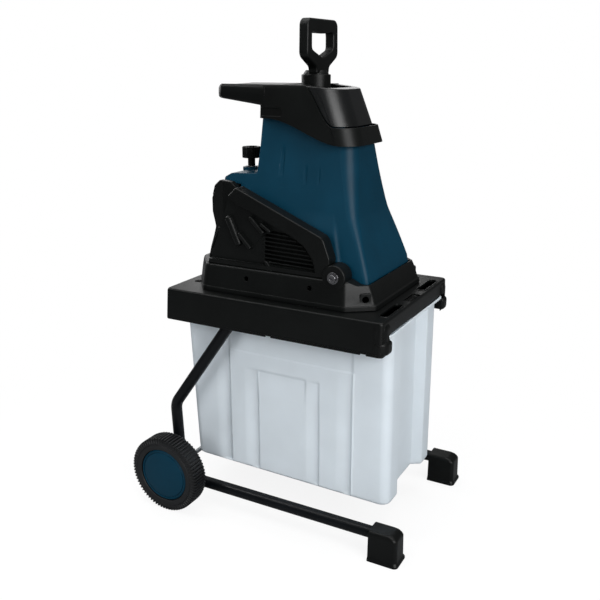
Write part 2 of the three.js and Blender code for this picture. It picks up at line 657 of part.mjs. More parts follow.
/** End shield that holds a motor bearing. */
function motorShield(from, to, bearingFrom, bearingTo) {
  return cut(
    rod('z', [MOTOR.x, 0], MOTOR.radius, from, to),
    rod('z', [MOTOR.x, 0], 13.1, bearingFrom, bearingTo),
    rod('z', [MOTOR.x, 0], 8, from - 1, to + 1),
  );
}

function motorRotor() {
  const core = rod('z', [MOTOR.x, 0], 34, 545, 630);
  const shaft = rod('z', [MOTOR.x, 0], MOTOR.shaft, PULLEY.bottom, FAN.bottom + 16, SMALL);
  return join(core, shaft);
}

const motorBearing = (z) => ring('z', [MOTOR.x, 0], 13, MOTOR.shaft + 0.1, z, z + 7);

/** Radial fan on top of the motor shaft. */
function coolingFan() {
  const axis = [MOTOR.x, 0];
  const plate = rod('z', axis, FAN.radius, FAN.bottom, FAN.bottom + 2.5);
  const hub = rod('z', axis, 12, FAN.bottom, FAN.bottom + 14, SMALL);
  const blades = Array.from({ length: FAN.blades }, (_, i) => {
    const blade = new THREE.BoxGeometry(28, 2, 12);
    blade.translate(25, 0, FAN.bottom + 8);
    return solid(blade.rotateZ(2 * Math.PI * i / FAN.blades).translate(MOTOR.x, 0, 0));
  });
  const bore = rod('z', axis, MOTOR.shaft + 0.1, FAN.bottom - 4, FAN.bottom + 18, SMALL);
  return cut(join(plate, hub, ...blades), bore);
}

/** Grooved belt pulley with rims above and below the belt. */
function pulley(x, radius, bore, boreSides) {
  const rim = radius + 2.5;
  return cut(
    join(
      rod('z', [x, 0], radius, PULLEY.bottom, PULLEY.top),
      rod('z', [x, 0], rim, PULLEY.bottom, PULLEY.bottom + PULLEY.flange),
      rod('z', [x, 0], rim, PULLEY.top - PULLEY.flange, PULLEY.top),
    ),
    rod('z', [x, 0], bore, PULLEY.bottom - 1, PULLEY.top + 1, boreSides),
  );
}

/** Belt outline at some distance outside the two pulleys. */
function beltLoop(clear) {
  const small = PULLEY.motor + clear;
  const large = PULLEY.blade + clear;
  const span = CHAMBER.x - MOTOR.x;
  const lean = Math.acos((large - small) / span);
  const arc = (x, radius, from, to, steps) => Array.from({ length: steps + 1 }, (_, i) => {
    const angle = from + (to - from) * i / steps;
    return new THREE.Vector2(x + radius * Math.cos(angle), radius * Math.sin(angle));
  });
  const turn = Math.PI - lean;
  return [
    ...arc(CHAMBER.x, large, -turn, turn, 12),
    ...arc(MOTOR.x, small, turn, 2 * Math.PI - turn, 8),
  ];
}

function driveBelt() {
  const from = PULLEY.bottom + PULLEY.flange + GAP;
  const to = PULLEY.top - PULLEY.flange - GAP;
  return cut(plateZ(beltLoop(3.3), from, to), plateZ(beltLoop(0.5), from - 1, to + 1));
}

/** Knife spindle with a shoulder under the disc and a threaded end for the disc nut. */
function bladeSpindle() {
  const axis = [CHAMBER.x, 0];
  return join(
    rod('z', axis, SPINDLE.radius, PULLEY.bottom, DISC.top + 14, ROUND),
    rod('z', axis, SPINDLE.shoulder, DISC.bottom - 10, DISC.bottom - GAP, ROUND),
  );
}

const spindleBearing = (z) => ring('z', [CHAMBER.x, 0], 17.5, SPINDLE.radius + 0.2, z, z + 11);

/** Turn of each blade on the disc, and how far out its two screws sit. */
const BLADE_TURNS = { first: 0, second: Math.PI };
const SCREW_REACH = { inner: 34, outer: 66 };

/** A point on the disc at a distance from its centre along a blade. */
const onDisc = (turn, reach) => [CHAMBER.x + reach * Math.cos(turn), reach * Math.sin(turn)];

/** Knife disc with a chip window ahead of each blade. */
function bladeDisc() {
  const axis = [CHAMBER.x, 0];
  const windows = Object.values(BLADE_TURNS).map((turn) => {
    const slot = new THREE.BoxGeometry(54, 12, 10);
    slot.translate(48, 20, (DISC.bottom + DISC.top) / 2).rotateZ(turn);
    return solid(slot.translate(CHAMBER.x, 0, 0));
  });
  const plate = rod('z', axis, DISC.radius, DISC.bottom, DISC.top, 32);
  const bore = rod('z', axis, SPINDLE.radius + 0.2, DISC.bottom - 4, DISC.top + 4);
  return cut(plate, bore, ...windows);
}

/** Reversible blade with a bevel on both long edges. */
function blade(turn) {
  const section = outlineOf([[-11, 0], [11, 0], [8, 4], [-8, 4]]);
  const bar = geometryOf(plateX(section, 19, 81));
  bar.translate(0, 0, DISC.top + GAP).rotateZ(turn).translate(CHAMBER.x, 0, 0);
  const holes = Object.values(SCREW_REACH).map((reach) => (
    rod('z', onDisc(turn, reach), 3.3, DISC.top - 2, DISC.top + 8, SMALL)));
  return cut(solid(bar), ...holes);
}

/** Domed screw that clamps a blade on the disc. */
function bladeScrew(turn, reach) {
  const centre = onDisc(turn, reach);
  return join(
    rod('z', centre, 3, DISC.top + GAP, DISC.top + 6, SMALL),
    rod('z', centre, 5.5, DISC.top + 4.6, DISC.top + 7.6, SMALL, 4.5),
  );
}

function discNut() {
  const axis = [CHAMBER.x, 0];
  return cut(
    rod('z', axis, 15, DISC.top + GAP, DISC.top + 10, 6),
    rod('z', axis, SPINDLE.radius + 0.1, DISC.top - 1, DISC.top + 12, ROUND),
  );
}

/** Safety switch under the lock screw's seat, held on the rear housing's inner wall. */
function interlockSwitch() {
  const rear = KNOB.x - 16;
  const bottom = REAR.top - 42;
  const body = block([rear, -15, bottom], [rear + 20, 15, REAR.top - 18 - GAP]);
  const contacts = [-7, 7].map((y) => block([rear + 3, y - 1, bottom - 7], [rear + 6, y + 1, bottom + 1]));
  return join(body, ...contacts);
}

// ---------------------------------------------------------------- tilting hopper
/** Half width and front face of the hopper at a height, flaring towards the hinge. */
const TOWER = [
  { z: 540, front: 197, half: 112 },
  { z: 566, front: 192.5, half: 112 },
  { z: 667, front: 156.5, half: 91.5 },
  { z: 720, front: 147, half: 81.5 },
  { z: 800, front: 136, half: 66 },
  { z: 862, front: 125, half: 58 },
];

const towerLoft = (inset) => skin(TOWER.map(({ z, front, half }) => at(
  z, planRectangle(-200, front - inset, half - inset, 2, 14 - inset))));

/** Side view of the blue moulding: tower, rear shelf, and the slanted parting edge. */
function hopperSideView() {
  return rounded([
    [200, 842], [112, 842], [112, 862], [-58, 862], [-58, 856.5], [-72, 856.5],
    [-77, SHELF.top, 8], [-140, SHELF.top - 3, 12], [SHELF.rear, SHELF.top - 12, 6],
    [SHELF.rear, 721], [-114, 721], [-114, 676], [100, 566], [150, 566], [150, 548], [200, 548],
  ]);
}

/** Side view of the room inside the blue moulding, open above and below. */
function hopperRoom() {
  const rear = SHELF.rear + WALL;
  const shelf = SHELF.top - WALL;
  return rounded([
    [200, 900], [-69, 900], [-69, 856.5], [-74, shelf, 8], [-140, shelf - 3, 12],
    [rear, shelf - 12, 6], [rear, 500], [200, 500],
  ]);
}

/** Blue hopper moulding: an open shell that tilts on the two hinge bolts. */
function hopperShell() {
  const outer = towerLoft(0).intersect(plateY(hopperSideView(), -130, 130));
  const inner = towerLoft(WALL).intersect(plateY(hopperRoom(), -130, 130));
  const topOpening = block([-66, -54, 840], [116, 54, 870]);
  const lipLimit = cut(
    block([HINGE.x, -130, 500], [260, 130, HINGE.z]),
    rod('y', [HINGE.x, HINGE.z], HINGE.lip, -131, 131, 36),
  );
  const boltHoles = rod('y', [HINGE.x, HINGE.z], HINGE.bolt + GAP, -130, 130, SMALL);
  const screwBoss = rod('z', [KNOB.x, 0], SCREW_BOSS.radius, SHELF.top - 6, SCREW_BOSS.top);
  const screwHole = rod('z', [KNOB.x, 0], 6.3, SHELF.top - 20, SCREW_BOSS.top + 1, SMALL);
  return cut(join(cut(outer, inner), screwBoss), topOpening, lipLimit, boltHoles, screwHole);
}

/** Feed chute inside the hopper: a wide mouth narrowing to a square shaft above the disc. */
function feedChute() {
  const half = CHUTE.half + CHUTE.wall;
  const levels = [
    { z: CHUTE.bottom, rear: CHUTE.x - half, front: CHUTE.x + half, half },
    { z: CHUTE.throat, rear: CHUTE.x - half, front: CHUTE.x + half, half },
    { z: CHUTE.mouth, rear: CHUTE.x - half - 14, front: CHUTE.x + half + 12, half: half + 8 },
  ];
  const surface = (inset) => levels.map((level) => at(level.z, planRectangle(
    level.rear + inset, level.front - inset, level.half - inset, 8, 8, 3)));
  return skin([...surface(0), ...surface(CHUTE.wall).reverse()], true);
}

/** Outer form of the collar and of the cap; inset shrinks it for the hollow. */
const COLLAR_FORM = [
  { z: COLLAR.low - 4, front: 150, half: 86 },
  { z: 846, front: 138, half: 82 },
  { z: 885, front: 120, half: 79 },
  { z: CAP.top, front: 104, half: 76 },
];
const CAP_FORM = [
  { z: CAP.seam - 6, front: 132.5, half: 81.5 },
  { z: CAP.top, front: 100.5, half: 75.5 },
];

function headLoft(form, inset, corner) {
  const lowest = form[0].z - (inset > 0 ? 1 : 0);
  return skin(form.map(({ z, front, half }, i) => at(i > 0 ? z : lowest, planRectangle(
    COLLAR.rear + inset, front - inset, half - inset, 12 - inset, corner - inset))));
}

/** Side-view area below a curve z = height(x), for cutting along a swept line. */
function underCurve(height, floor = 700) {
  const swept = { from: -60, to: 120, step: 15 };
  const ends = [-200, 160, 200];
  const stations = [ends[0]];
  for (let x = swept.from; x <= swept.to; x += swept.step) stations.push(x);
  stations.push(ends[1], ends[2]);
  const curve = stations.map((x) => [x, height(x)]);
  return plateY(outlineOf([...curve, [ends[2], floor], [ends[0], floor]]), -120, 120);
}

const collarEdge = (x) => COLLAR.low + (COLLAR.high - COLLAR.low) * easeDown(x, -50, 120);
const seam = (x) => CAP.seam + (CAP.top + 4 - CAP.seam) * easeDown(x, 25, 100);
const capTop = (x) => CAP.top - CAP.slope * Math.max(x - CAP.slopeFrom, 0);

/** Feed mouth through the top of collar and cap. */
const feedMouth = () => plateZ(planRectangle(-36, 80, 52, 14, 14), CAP.top - 16, CAP.top + 2);

/** Carrying handle that runs back from the head, hollow underneath. */
function handle() {
  const level = (z, grow) => at(z, rounded([
    [COLLAR.grip - grow, -46, 20], [-170, -66 - grow, 20], [COLLAR.rear + 14, -76 - grow],
    [COLLAR.rear + 14, 76 + grow], [-170, 66 + grow, 20], [COLLAR.grip - grow, 46, 20],
  ]));
  const bottom = 876;
  const bar = skin([level(bottom, 2), level(CAP.top - 6, 2), level(CAP.top, -1)]);
  const sideView = plateY(rounded([
    [0, CAP.top], [-182, CAP.top, 10], [-190, 908, 8], [-186, 894, 4], [-75, 881], [0, 881],
  ]), -100, 100);
  const pocket = plateZ(rounded([
    [-178, -42, 12], [-166, -58, 12], [COLLAR.rear - 6, -68, 4],
    [COLLAR.rear - 6, 68, 4], [-166, 58, 12], [-178, 42, 12],
  ], 3), bottom - 1, CAP.top - 6);
  return cut(bar.intersect(sideView), pocket);
}

/** Black collar moulding with its swept lower edge and the carrying handle. */
function hopperCollar() {
  const hollow = headLoft(COLLAR_FORM, CAP.wall, 28).intersect(underCurve(() => CAP.top - CAP.wall));
  const outer = join(headLoft(COLLAR_FORM, 0, 28), handle());
  const body = cut(outer, hollow, feedMouth(), underCurve(collarEdge));
  return body.intersect(underCurve((x) => seam(x) - GAP));
}

/** Glossy cap over the front of the head, above the swept seam; its top falls to the front. */
function hopperCap() {
  const hollow = headLoft(CAP_FORM, CAP.wall, 34).intersect(underCurve((x) => capTop(x) - CAP.wall));
  const outer = headLoft(CAP_FORM, 0, 34).intersect(underCurve(capTop));
  return cut(outer, hollow, feedMouth(), underCurve(seam));
}

/** Hinge bolt with a washer face and hexagon socket, screwed through the base boss. */
function hingeBolt() {
  const axis = [HINGE.x, HINGE.z];
  const face = -HINGE.face - GAP;
  const bolt = join(
    rod('y', axis, 12, face - 2, face),
    rod('y', axis, 8.5, face - 8, face - 1),
    rod('y', axis, HINGE.bolt, face - 1, -104, SMALL),
  );
  return cut(bolt, rod('y', axis, 3.6, face - 9, face - 4, 6));
}

/** Washer that rises with the lock knob. */
function lockWasher() {
  return ring('z', [KNOB.x, 0], 13, 6.3, SCREW_BOSS.top + GAP, SCREW_BOSS.washer, ROUND);
}

/** Knurled hand knob with its screw. */
function lockKnob() {
  const ribs = 20;
  const outline = Array.from({ length: 2 * ribs }, (_, i) => {
    const angle = Math.PI * i / ribs;
    const radius = i % 2 ? KNOB.radius : KNOB.radius - 1.2;
    return new THREE.Vector2(KNOB.x + radius * Math.cos(angle), radius * Math.sin(angle));
  });
  return join(
    plateZ(outline, KNOB.bottom, KNOB.top),
    rod('z', [KNOB.x, 0], KNOB.neck, SCREW_BOSS.washer + GAP, KNOB.bottom + 1, ROUND),
    rod('z', [KNOB.x, 0], KNOB.screw, REAR.top - 12, SCREW_BOSS.washer + 2, SMALL),
  );
}

/** Pusher: D-handle, neck, round collar, shaft and the square foot that follows the chute. */
function plunger() {
  const grip = rounded([
    [-27, 944], [27, 944], [27, 955, 12], [67, 976, 16], [65, PLUNGER.top, 15],
    [-65, PLUNGER.top, 15], [-67, 976, 16], [-27, 955, 12],
  ]);
  const opening = rounded([
    [0, 974, 20], [46.5, 990, 8], [46.5, 1023.5, 6], [0, 1020, 60], [-46.5, 1023.5, 6], [-46.5, 990, 8],
  ]);
  const halfGrip = 10.5;
  const axis = [PLUNGER.x, 0];
  const foot = planRectangle(CHUTE.x - 42, CHUTE.x + 42, 42, 6, 6, 3);
  return join(
    cut(
      plateX(grip, PLUNGER.gripX - halfGrip, PLUNGER.gripX + halfGrip),
      plateX(opening, PLUNGER.gripX - halfGrip - 2, PLUNGER.gripX + halfGrip + 2),
    ),
    rod('z', axis, PLUNGER.collar, 912, 941, 24),
    rod('z', axis, PLUNGER.collar, 940.9, 950, 24, 24),
    rod('z', axis, 20, PLUNGER.foot + 5, 913),
    plateZ(foot, PLUNGER.foot, PLUNGER.foot + 12),
  );
}

// ---------------------------------------------------------------- the assembly
const finishes = {
  blackPlastic: { color: 0x1b1c1e, roughness: 0.55, metalness: 0 },
  glossBlack: { color: 0x17181a, roughness: 0.25, metalness: 0 },
  bluePlastic: { color: 0x0f3f63, roughness: 0.45, metalness: 0 },
  boxPlastic: { color: 0xc9d3da, roughness: 0.5, metalness: 0 },
  blackSteel: { color: 0x16181a, roughness: 0.4, metalness: 0.4 },
  bareSteel: { color: 0x9a9da0, roughness: 0.35, metalness: 0.9 },
  darkSteel: { color: 0x2c2d30, roughness: 0.45, metalness: 0.8 },
  rubber: { color: 0x1a1a1b, roughness: 0.85, metalness: 0 },
  redPlastic: { color: 0xb3261e, roughness: 0.4, metalness: 0 },
  greenPlastic: { color: 0x1f7a3a, roughness: 0.4, metalness: 0 },
  copper: { color: 0x8a4b2a, roughness: 0.5, metalness: 0.6 },
};

const machine = new THREE.Group();

/** Adds one named piece to the machine. */
function place(name, body, finish) {
  const mesh = new THREE.Mesh(geometryOf(body), new THREE.MeshStandardMaterial(finishes[finish]));
  mesh.name = name;
  machine.add(mesh);
}

/** Adds a piece of the right side (negative y) and its mirror image on the left. */
function placePair(name, body, finish) {
  place(`right_${name}`, body, finish);
  place(`left_${name}`, mirrored(body), finish);
}

placePair('frame_tube', frameTube(), 'blackSteel');
placePair('foot', foot(), 'blackPlastic');
placePair('wheel', wheel(), 'rubber');
placePair('hub_cap', hubCap(), 'bluePlastic');
placePair('push_nut', pushNut(), 'bareSteel');
placePair('axle_washer', axleWasher(), 'bareSteel');
place('axle', axle(), 'bareSteel');
placePair('rear_frame_screw', frameScrew(SCREW_X[0]), 'bareSteel');
placePair('front_frame_screw', frameScrew(SCREW_X[1]), 'bareSteel');
place('tray', tray(), 'blackPlastic');
place('box_lock_slider', boxLockSlider(), 'blackPlastic');
place('collection_box', collectionBox(), 'boxPlastic');
place('base_housing', baseHousing(), 'blackPlastic');
placePair('side_cover', sideCover(), 'blackPlastic');
place('rear_housing', rearHousing(), 'blackPlastic');
place('off_button', pushButton(SWITCHES.off), 'redPlastic');
place('on_button', pushButton(SWITCHES.on), 'greenPlastic');
place('reset_button', pushButton(SWITCHES.reset), 'redPlastic');
place('power_inlet', powerInlet(), 'blackPlastic');
place('motor_stator', motorStator(), 'copper');
place('motor_rotor', motorRotor(), 'bareSteel');
place('motor_lower_shield', motorShield(MOTOR.bottom - 8, MOTOR.bottom - GAP, 524.5, 533), 'bareSteel');
place('motor_upper_shield', motorShield(MOTOR.top + GAP, MOTOR.top + 9, 639, 648.5), 'bareSteel');
place('motor_lower_bearing', motorBearing(524.7), 'bareSteel');
place('motor_upper_bearing', motorBearing(641), 'bareSteel');
place('cooling_fan', coolingFan(), 'blackPlastic');
place('motor_pulley', pulley(MOTOR.x, PULLEY.motor, MOTOR.shaft + 0.1, SMALL), 'bareSteel');
place('blade_pulley', pulley(CHAMBER.x, PULLEY.blade, SPINDLE.radius + 0.1, ROUND), 'bareSteel');
place('drive_belt', driveBelt(), 'rubber');
place('blade_spindle', bladeSpindle(), 'bareSteel');
place('spindle_lower_bearing', spindleBearing(521.5), 'bareSteel');
place('spindle_upper_bearing', spindleBearing(534), 'bareSteel');
place('blade_disc', bladeDisc(), 'bareSteel');
for (const [which, turn] of Object.entries(BLADE_TURNS)) {
  place(`${which}_blade`, blade(turn), 'bareSteel');
  for (const [where, reach] of Object.entries(SCREW_REACH)) {
    place(`${which}_blade_${where}_screw`, bladeScrew(turn, reach), 'bareSteel');
  }
}
place('disc_nut', discNut(), 'bareSteel');
place('interlock_switch', interlockSwitch(), 'blackPlastic');
place('hopper_shell', hopperShell(), 'bluePlastic');
place('feed_chute', feedChute(), 'blackPlastic');
place('hopper_collar', hopperCollar(), 'blackPlastic');
place('hopper_cap', hopperCap(), 'glossBlack');
placePair('hinge_bolt', hingeBolt(), 'darkSteel');
place('lock_washer', lockWasher(), 'bareSteel');
place('lock_knob', lockKnob(), 'blackPlastic');
place('plunger', plunger(), 'blackPlastic');

export default machine;
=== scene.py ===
"""Looks of the garden shredder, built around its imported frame. Millimetres here, metres in the scene."""
import json
from math import acos, atan2, copysign, cos, hypot, pi, radians, sin, tan
from types import SimpleNamespace as Sizes

import bmesh
import bpy
from mathutils import Matrix, Vector


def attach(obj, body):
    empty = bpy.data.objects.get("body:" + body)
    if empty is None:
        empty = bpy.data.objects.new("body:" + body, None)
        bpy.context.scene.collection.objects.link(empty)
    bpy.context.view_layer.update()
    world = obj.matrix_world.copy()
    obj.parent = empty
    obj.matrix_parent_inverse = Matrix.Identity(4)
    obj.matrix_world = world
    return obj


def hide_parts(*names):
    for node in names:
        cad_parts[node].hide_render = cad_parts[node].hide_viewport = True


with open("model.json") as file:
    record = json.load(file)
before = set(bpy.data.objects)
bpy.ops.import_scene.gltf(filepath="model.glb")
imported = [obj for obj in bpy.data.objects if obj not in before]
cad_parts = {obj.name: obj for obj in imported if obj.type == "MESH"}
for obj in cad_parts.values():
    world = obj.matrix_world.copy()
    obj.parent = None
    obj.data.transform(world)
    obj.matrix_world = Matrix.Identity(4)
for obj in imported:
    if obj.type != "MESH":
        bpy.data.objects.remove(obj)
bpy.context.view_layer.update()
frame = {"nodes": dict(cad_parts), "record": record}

# ---- driving dimensions
MM = 0.001
SIDES = (-1, 1)  # right and left
FINE = 48  # facets of an ordinary round piece
RIM_STEPS = 4  # rings in a rounded rim
CREASE = 38  # degrees; a sharper edge keeps its crease
GAP = 0.3
WALL = 3

WHEEL = Sizes(radius=87, x=-226.5, inner=209, outer=252.5, bore=5.3, ribs=72)
FOOT = Sizes(rear=248, front=313.5, inner=156, outer=204)
TUBE = Sizes(radius=12.5, wall=1.5, bend=42, low_y=180, high_y=167, low_z=52, high_z=450)
LEG = Sizes(foot_x=-229, knee_x=-237, knee_z=232, top_x=-86)
TRAY = Sizes(rear=-245, front=258, half=184, top=502, skirt=433, apron=469.5)
POST = Sizes(rear=240, front=262, low_front=266, inner=150, bottom=436, top=500)
SCREW_X = (-58, 200)
BOX = Sizes(rear=-237, floor_rear=-220, front=258, half=131, bottom=83, tilt=8, wall=2.5, channel=21)
RIM = Sizes(bottom=463, top=468, rear=-240, front=262, half=159)
LOCK_X = 245
BASE = Sizes(bottom=502.3, top=560, rear=-219, front=219, half=160, taper=11)
BASE_RIM = Sizes(z=551, rear=162, front=182)
FACET = Sizes(x=165, y=120)
HINGE = Sizes(x=138, z=566, face=152, boss=25, bolt=6, lip=59)
CHAMBER = Sizes(x=62, radius=95, floor=548, top=586)
COVER = Sizes(inner=117, outer=147)
REAR = Sizes(front=-118, rear=-176, waist=-166, foot=-190, half=113, top=720)
MOTOR_X = -100
SHELF = Sizes(rear=-156, top=745)
SCREW_BOSS = Sizes(radius=19, top=747, washer=749.5)
COLLAR = Sizes(low=809, high=857, rear=-70, grip=-187)
CAP = Sizes(top=923, seam=844, slope_from=20, slope=0.1, wall=3.5)
CHUTE = Sizes(x=22, half=46, bottom=590, throat=840, mouth=905)
PLUNGER = Sizes(x=20, grip_x=26, top=1047, foot=688, collar=29.7)
KNOB = Sizes(x=-138, radius=20, bottom=766.5, top=790.5)
INLET = Sizes(rear=-178, front=-158, inner=29, outer=71, bottom=641, top=675)
HUB = (WHEEL.x, WHEEL.radius)
PIVOT = (HINGE.x, HINGE.z)
SPINDLE = (CHAMBER.x, 0)
LOCK_SCREW = (KNOB.x, 0)


# ---- solids
def new_object(name, data):
    thing = bpy.data.objects.new(name, data)
    bpy.context.scene.collection.objects.link(thing)
    return thing


def solid(points, faces):
    """A closed mesh object from points in millimetres, facing out."""
    data = bpy.data.meshes.new("solid")
    data.from_pydata([[value * MM for value in point] for point in points], [], faces)
    thing = new_object("solid", data)
    form = bmesh.new()
    form.from_mesh(data)
    bmesh.ops.remove_doubles(form, verts=form.verts, dist=1e-6)
    bmesh.ops.recalc_face_normals(form, faces=form.faces)
    form.to_mesh(data)
    form.free()
    return thing


def skin(rings, looped=False):
    """Skin over rings of points, capped at both ends, or closed on itself when looped."""
    count = len(rings[0])
    points = [point for ring in rings for point in ring]
    faces = []
    for band in range(len(rings) if looped else len(rings) - 1):
        low = band * count
        high = (band + 1) % len(rings) * count
        for i in range(count):
            after = (i + 1) % count
            faces.append((low + i, low + after, high + after, high + i))
    if not looped:
        last = (len(rings) - 1) * count
        faces.append(tuple(reversed(range(count))))
        faces.append(tuple(range(last, last + count)))
    return solid(points, faces)


def bake(thing):
    """Applies the modifiers of an object to its mesh."""
    graph = bpy.context.evaluated_depsgraph_get()
    data = bpy.data.meshes.new_from_object(thing.evaluated_get(graph))
    thing.modifiers.clear()
    old = thing.data
    thing.data = data
    bpy.data.meshes.remove(old)
    return thing


def combine(operation, target, tools):
    for tool in tools:
        modifier = target.modifiers.new("combine", "BOOLEAN")
        modifier.operation = operation
        modifier.solver = "MANIFOLD"
        modifier.object = tool
    bake(target)
    for tool in tools:
        bpy.data.objects.remove(tool)
    return target


def cut(target, *tools):
    return combine("DIFFERENCE", target, tools)


def join(target, *tools):
    return combine("UNION", target, tools)


def common(target, *tools):
    return combine("INTERSECT", target, tools)


def mirrored(thing):
    """The same form on the other side of the machine."""
    twin = new_object("solid", thing.data.copy())
    twin.data.transform(Matrix.Scale(-1, 4, (0, 1, 0)))
    twin.data.flip_normals()
    return twin


def moved(thing, offset=(0, 0, 0), turn=0, axis="Z", about=(0, 0, 0)):
    """Turns a form by an angle in radians about a point, then shifts it."""
    pivot = Vector(about) * MM
    place = Matrix.Translation(Vector(offset) * MM + pivot) @ Matrix.Rotation(turn, 4, axis)
    thing.data.transform(place @ Matrix.Translation(-pivot))
    return thing


def soften(thing, width=1.0, segments=2, angle=35):
    """Rounds the sharp edges of a form."""
    form = bmesh.new()
    form.from_mesh(thing.data)
    bmesh.ops.remove_doubles(form, verts=form.verts, dist=0.02 * MM)
    bmesh.ops.dissolve_limit(form, angle_limit=radians(0.5), verts=form.verts, edges=form.edges)
    form.to_mesh(thing.data)
    form.free()
    modifier = thing.modifiers.new("soften", "BEVEL")
    modifier.width = width * MM
    modifier.segments = segments
    modifier.limit_method = "ANGLE"
    modifier.angle_limit = radians(angle)
    modifier.use_clamp_overlap = False
    return bake(thing)


# ---- outlines
def rounded(corners, steps=6):
    """The points of an outline whose corners (u, v, radius) are rounded with arcs."""
    points = []
    for i, corner in enumerate(corners):
        here = Vector(corner[:2])
        radius = corner[2] if len(corner) > 2 else 0
        if radius == 0:
            points.append(tuple(here))
            continue
        back = (Vector(corners[i - 1][:2]) - here).normalized()
        ahead = (Vector(corners[(i + 1) % len(corners)][:2]) - here).normalized()
        half = acos(max(-1, min(1, back.dot(ahead)))) / 2
        centre = here + (back + ahead).normalized() * radius / sin(half)
        start = here + back * radius / tan(half) - centre
        end = here + ahead * radius / tan(half) - centre
        first = atan2(start.y, start.x)
        sweep = atan2(end.y, end.x) - first
        sweep = (sweep + pi) % (2 * pi) - pi
        for k in range(steps + 1):
            angle = first + sweep * k / steps
            points.append((centre.x + radius * cos(angle), centre.y + radius * sin(angle)))
    return points


def inset(outline, distance):
    """A closed outline moved inwards by a distance, corner by corner."""
    area = sum(a[0] * b[1] - b[0] * a[1] for a, b in zip(outline, outline[1:] + outline[:1]))
    side = 1 if area > 0 else -1
    points = []
    for i, (u, v) in enumerate(outline):
        before = Vector((u, v)) - Vector(outline[i - 1])
        after = Vector(outline[(i + 1) % len(outline)]) - Vector((u, v))
        first = Vector((-before.y, before.x)).normalized() * side
        second = Vector((-after.y, after.x)).normalized() * side
        miter = (first + second).normalized()
        reach = distance / max(miter.dot(first), 0.4)
        points.append((u + miter.x * reach, v + miter.y * reach))
    return points


PLACE = {
    "x": lambda u, v, w: (w, u, v),
    "y": lambda u, v, w: (u, w, v),
    "z": lambda u, v, w: (u, v, w),
}


def plate(axis, outline, low, high, low_round=0, high_round=0):
    """An outline extruded along an axis, with rounded rims where a radius is given."""
    def angles(radius):
        return [pi / 2 * k / RIM_STEPS for k in range(RIM_STEPS + 1 if radius else 1)]

    place = PLACE[axis]
    levels = [(low_round * (1 - sin(a)), low + low_round * (1 - cos(a))) for a in angles(low_round)]
    levels += [(high_round * (1 - cos(a)), high - high_round * (1 - sin(a))) for a in angles(high_round)]
    return skin([[place(u, v, w) for u, v in (inset(outline, grow) if grow else outline)]
                 for grow, w in levels])


def block(low, high):
    return plate("z", [(low[0], low[1]), (high[0], low[1]), (high[0], high[1]), (low[0], high[1])],
                 low[2], high[2])


def circle(u, v, radius, sides=FINE):
    return [(u + radius * cos(2 * pi * k / sides), v + radius * sin(2 * pi * k / sides))
            for k in range(sides)]


def rod(axis, centre, radius, low, high, sides=FINE, low_round=0, high_round=0):
    return plate(axis, circle(*centre, radius, sides), low, high, low_round, high_round)


def ring(axis, centre, outer, inner, low, high, sides=FINE):
    place = PLACE[axis]
    rims = [(outer, low), (outer, high), (inner, high), (inner, low)]
    return skin([[place(u, v, w) for u, v in circle(*centre, radius, sides)] for radius, w in rims],
                looped=True)


def turned(profile, centre, sides):
    """A closed (radius, along) profile turned about a line parallel to y."""
    x, z = centre
    angles = [2 * pi * k / sides for k in range(sides)]
    return skin([[(x + radius * cos(angle), along, z + radius * sin(angle)) for radius, along in profile]
                 for angle in angles], looped=True)


def symmetric(corners):
    """All corners of an outline in plan from those of its right half."""
    return corners + [(x, -y, *radius) for x, y, *radius in reversed(corners)]


def plan(rear, front, half, rear_radius, front_radius, steps=6):
    """Rounded rectangle in plan."""
    return rounded(symmetric([(rear, -half, rear_radius), (front, -half, front_radius)]), steps)


def rectangle(u_low, u_high, v_low, v_high, radius, steps):
    return rounded([(u_low, v_low, radius), (u_high, v_low, radius), (u_high, v_high, radius),
                    (u_low, v_high, radius)], steps)


def at(z, outline):
    return [(x, y, z) for x, y in outline]


def sided(side, near, far):
    """Low and high y of a stretch between two distances from the middle plane."""
    return sorted((side * near, side * far))


def smooth(value, start, end):
    t = max(0.0, min(1.0, (value - start) / (end - start)))
    return t * t * (3 - 2 * t)


def between(value, table):
    """Linear reading of a table of (value, result)."""
    for (x0, y0), (x1, y1) in zip(table, table[1:]):
        if value <= x1:
            return y0 + (y1 - y0) * (value - x0) / (x1 - x0)
    return table[-1][1]


# ---- materials
def set_inputs(node, **values):
    """Sets a shader node's inputs by name, or links those given as another node's output."""
    for name, value in values.items():
        socket = node.inputs[name.replace("_", " ")]
        if isinstance(value, bpy.types.NodeSocket):
            node.id_data.links.new(value, socket)
        else:
            socket.default_value = value
    return node


def add_node(nodes, kind, operation=None, **values):
    node = nodes.new("ShaderNode" + kind)
    if operation:
        node.operation = operation
    return set_inputs(node, **values)


def blend(nodes, share, first, second):
    """The finish between two others."""
    mix = add_node(nodes, "MixShader", Fac=share)
    mix.id_data.links.new(first.outputs[0], mix.inputs[1])
    mix.id_data.links.new(second.outputs[0], mix.inputs[2])
    return mix


def new_material(name):
    finish = bpy.data.materials.new(name)
    finish.use_nodes = True
    return finish, finish.node_tree.nodes


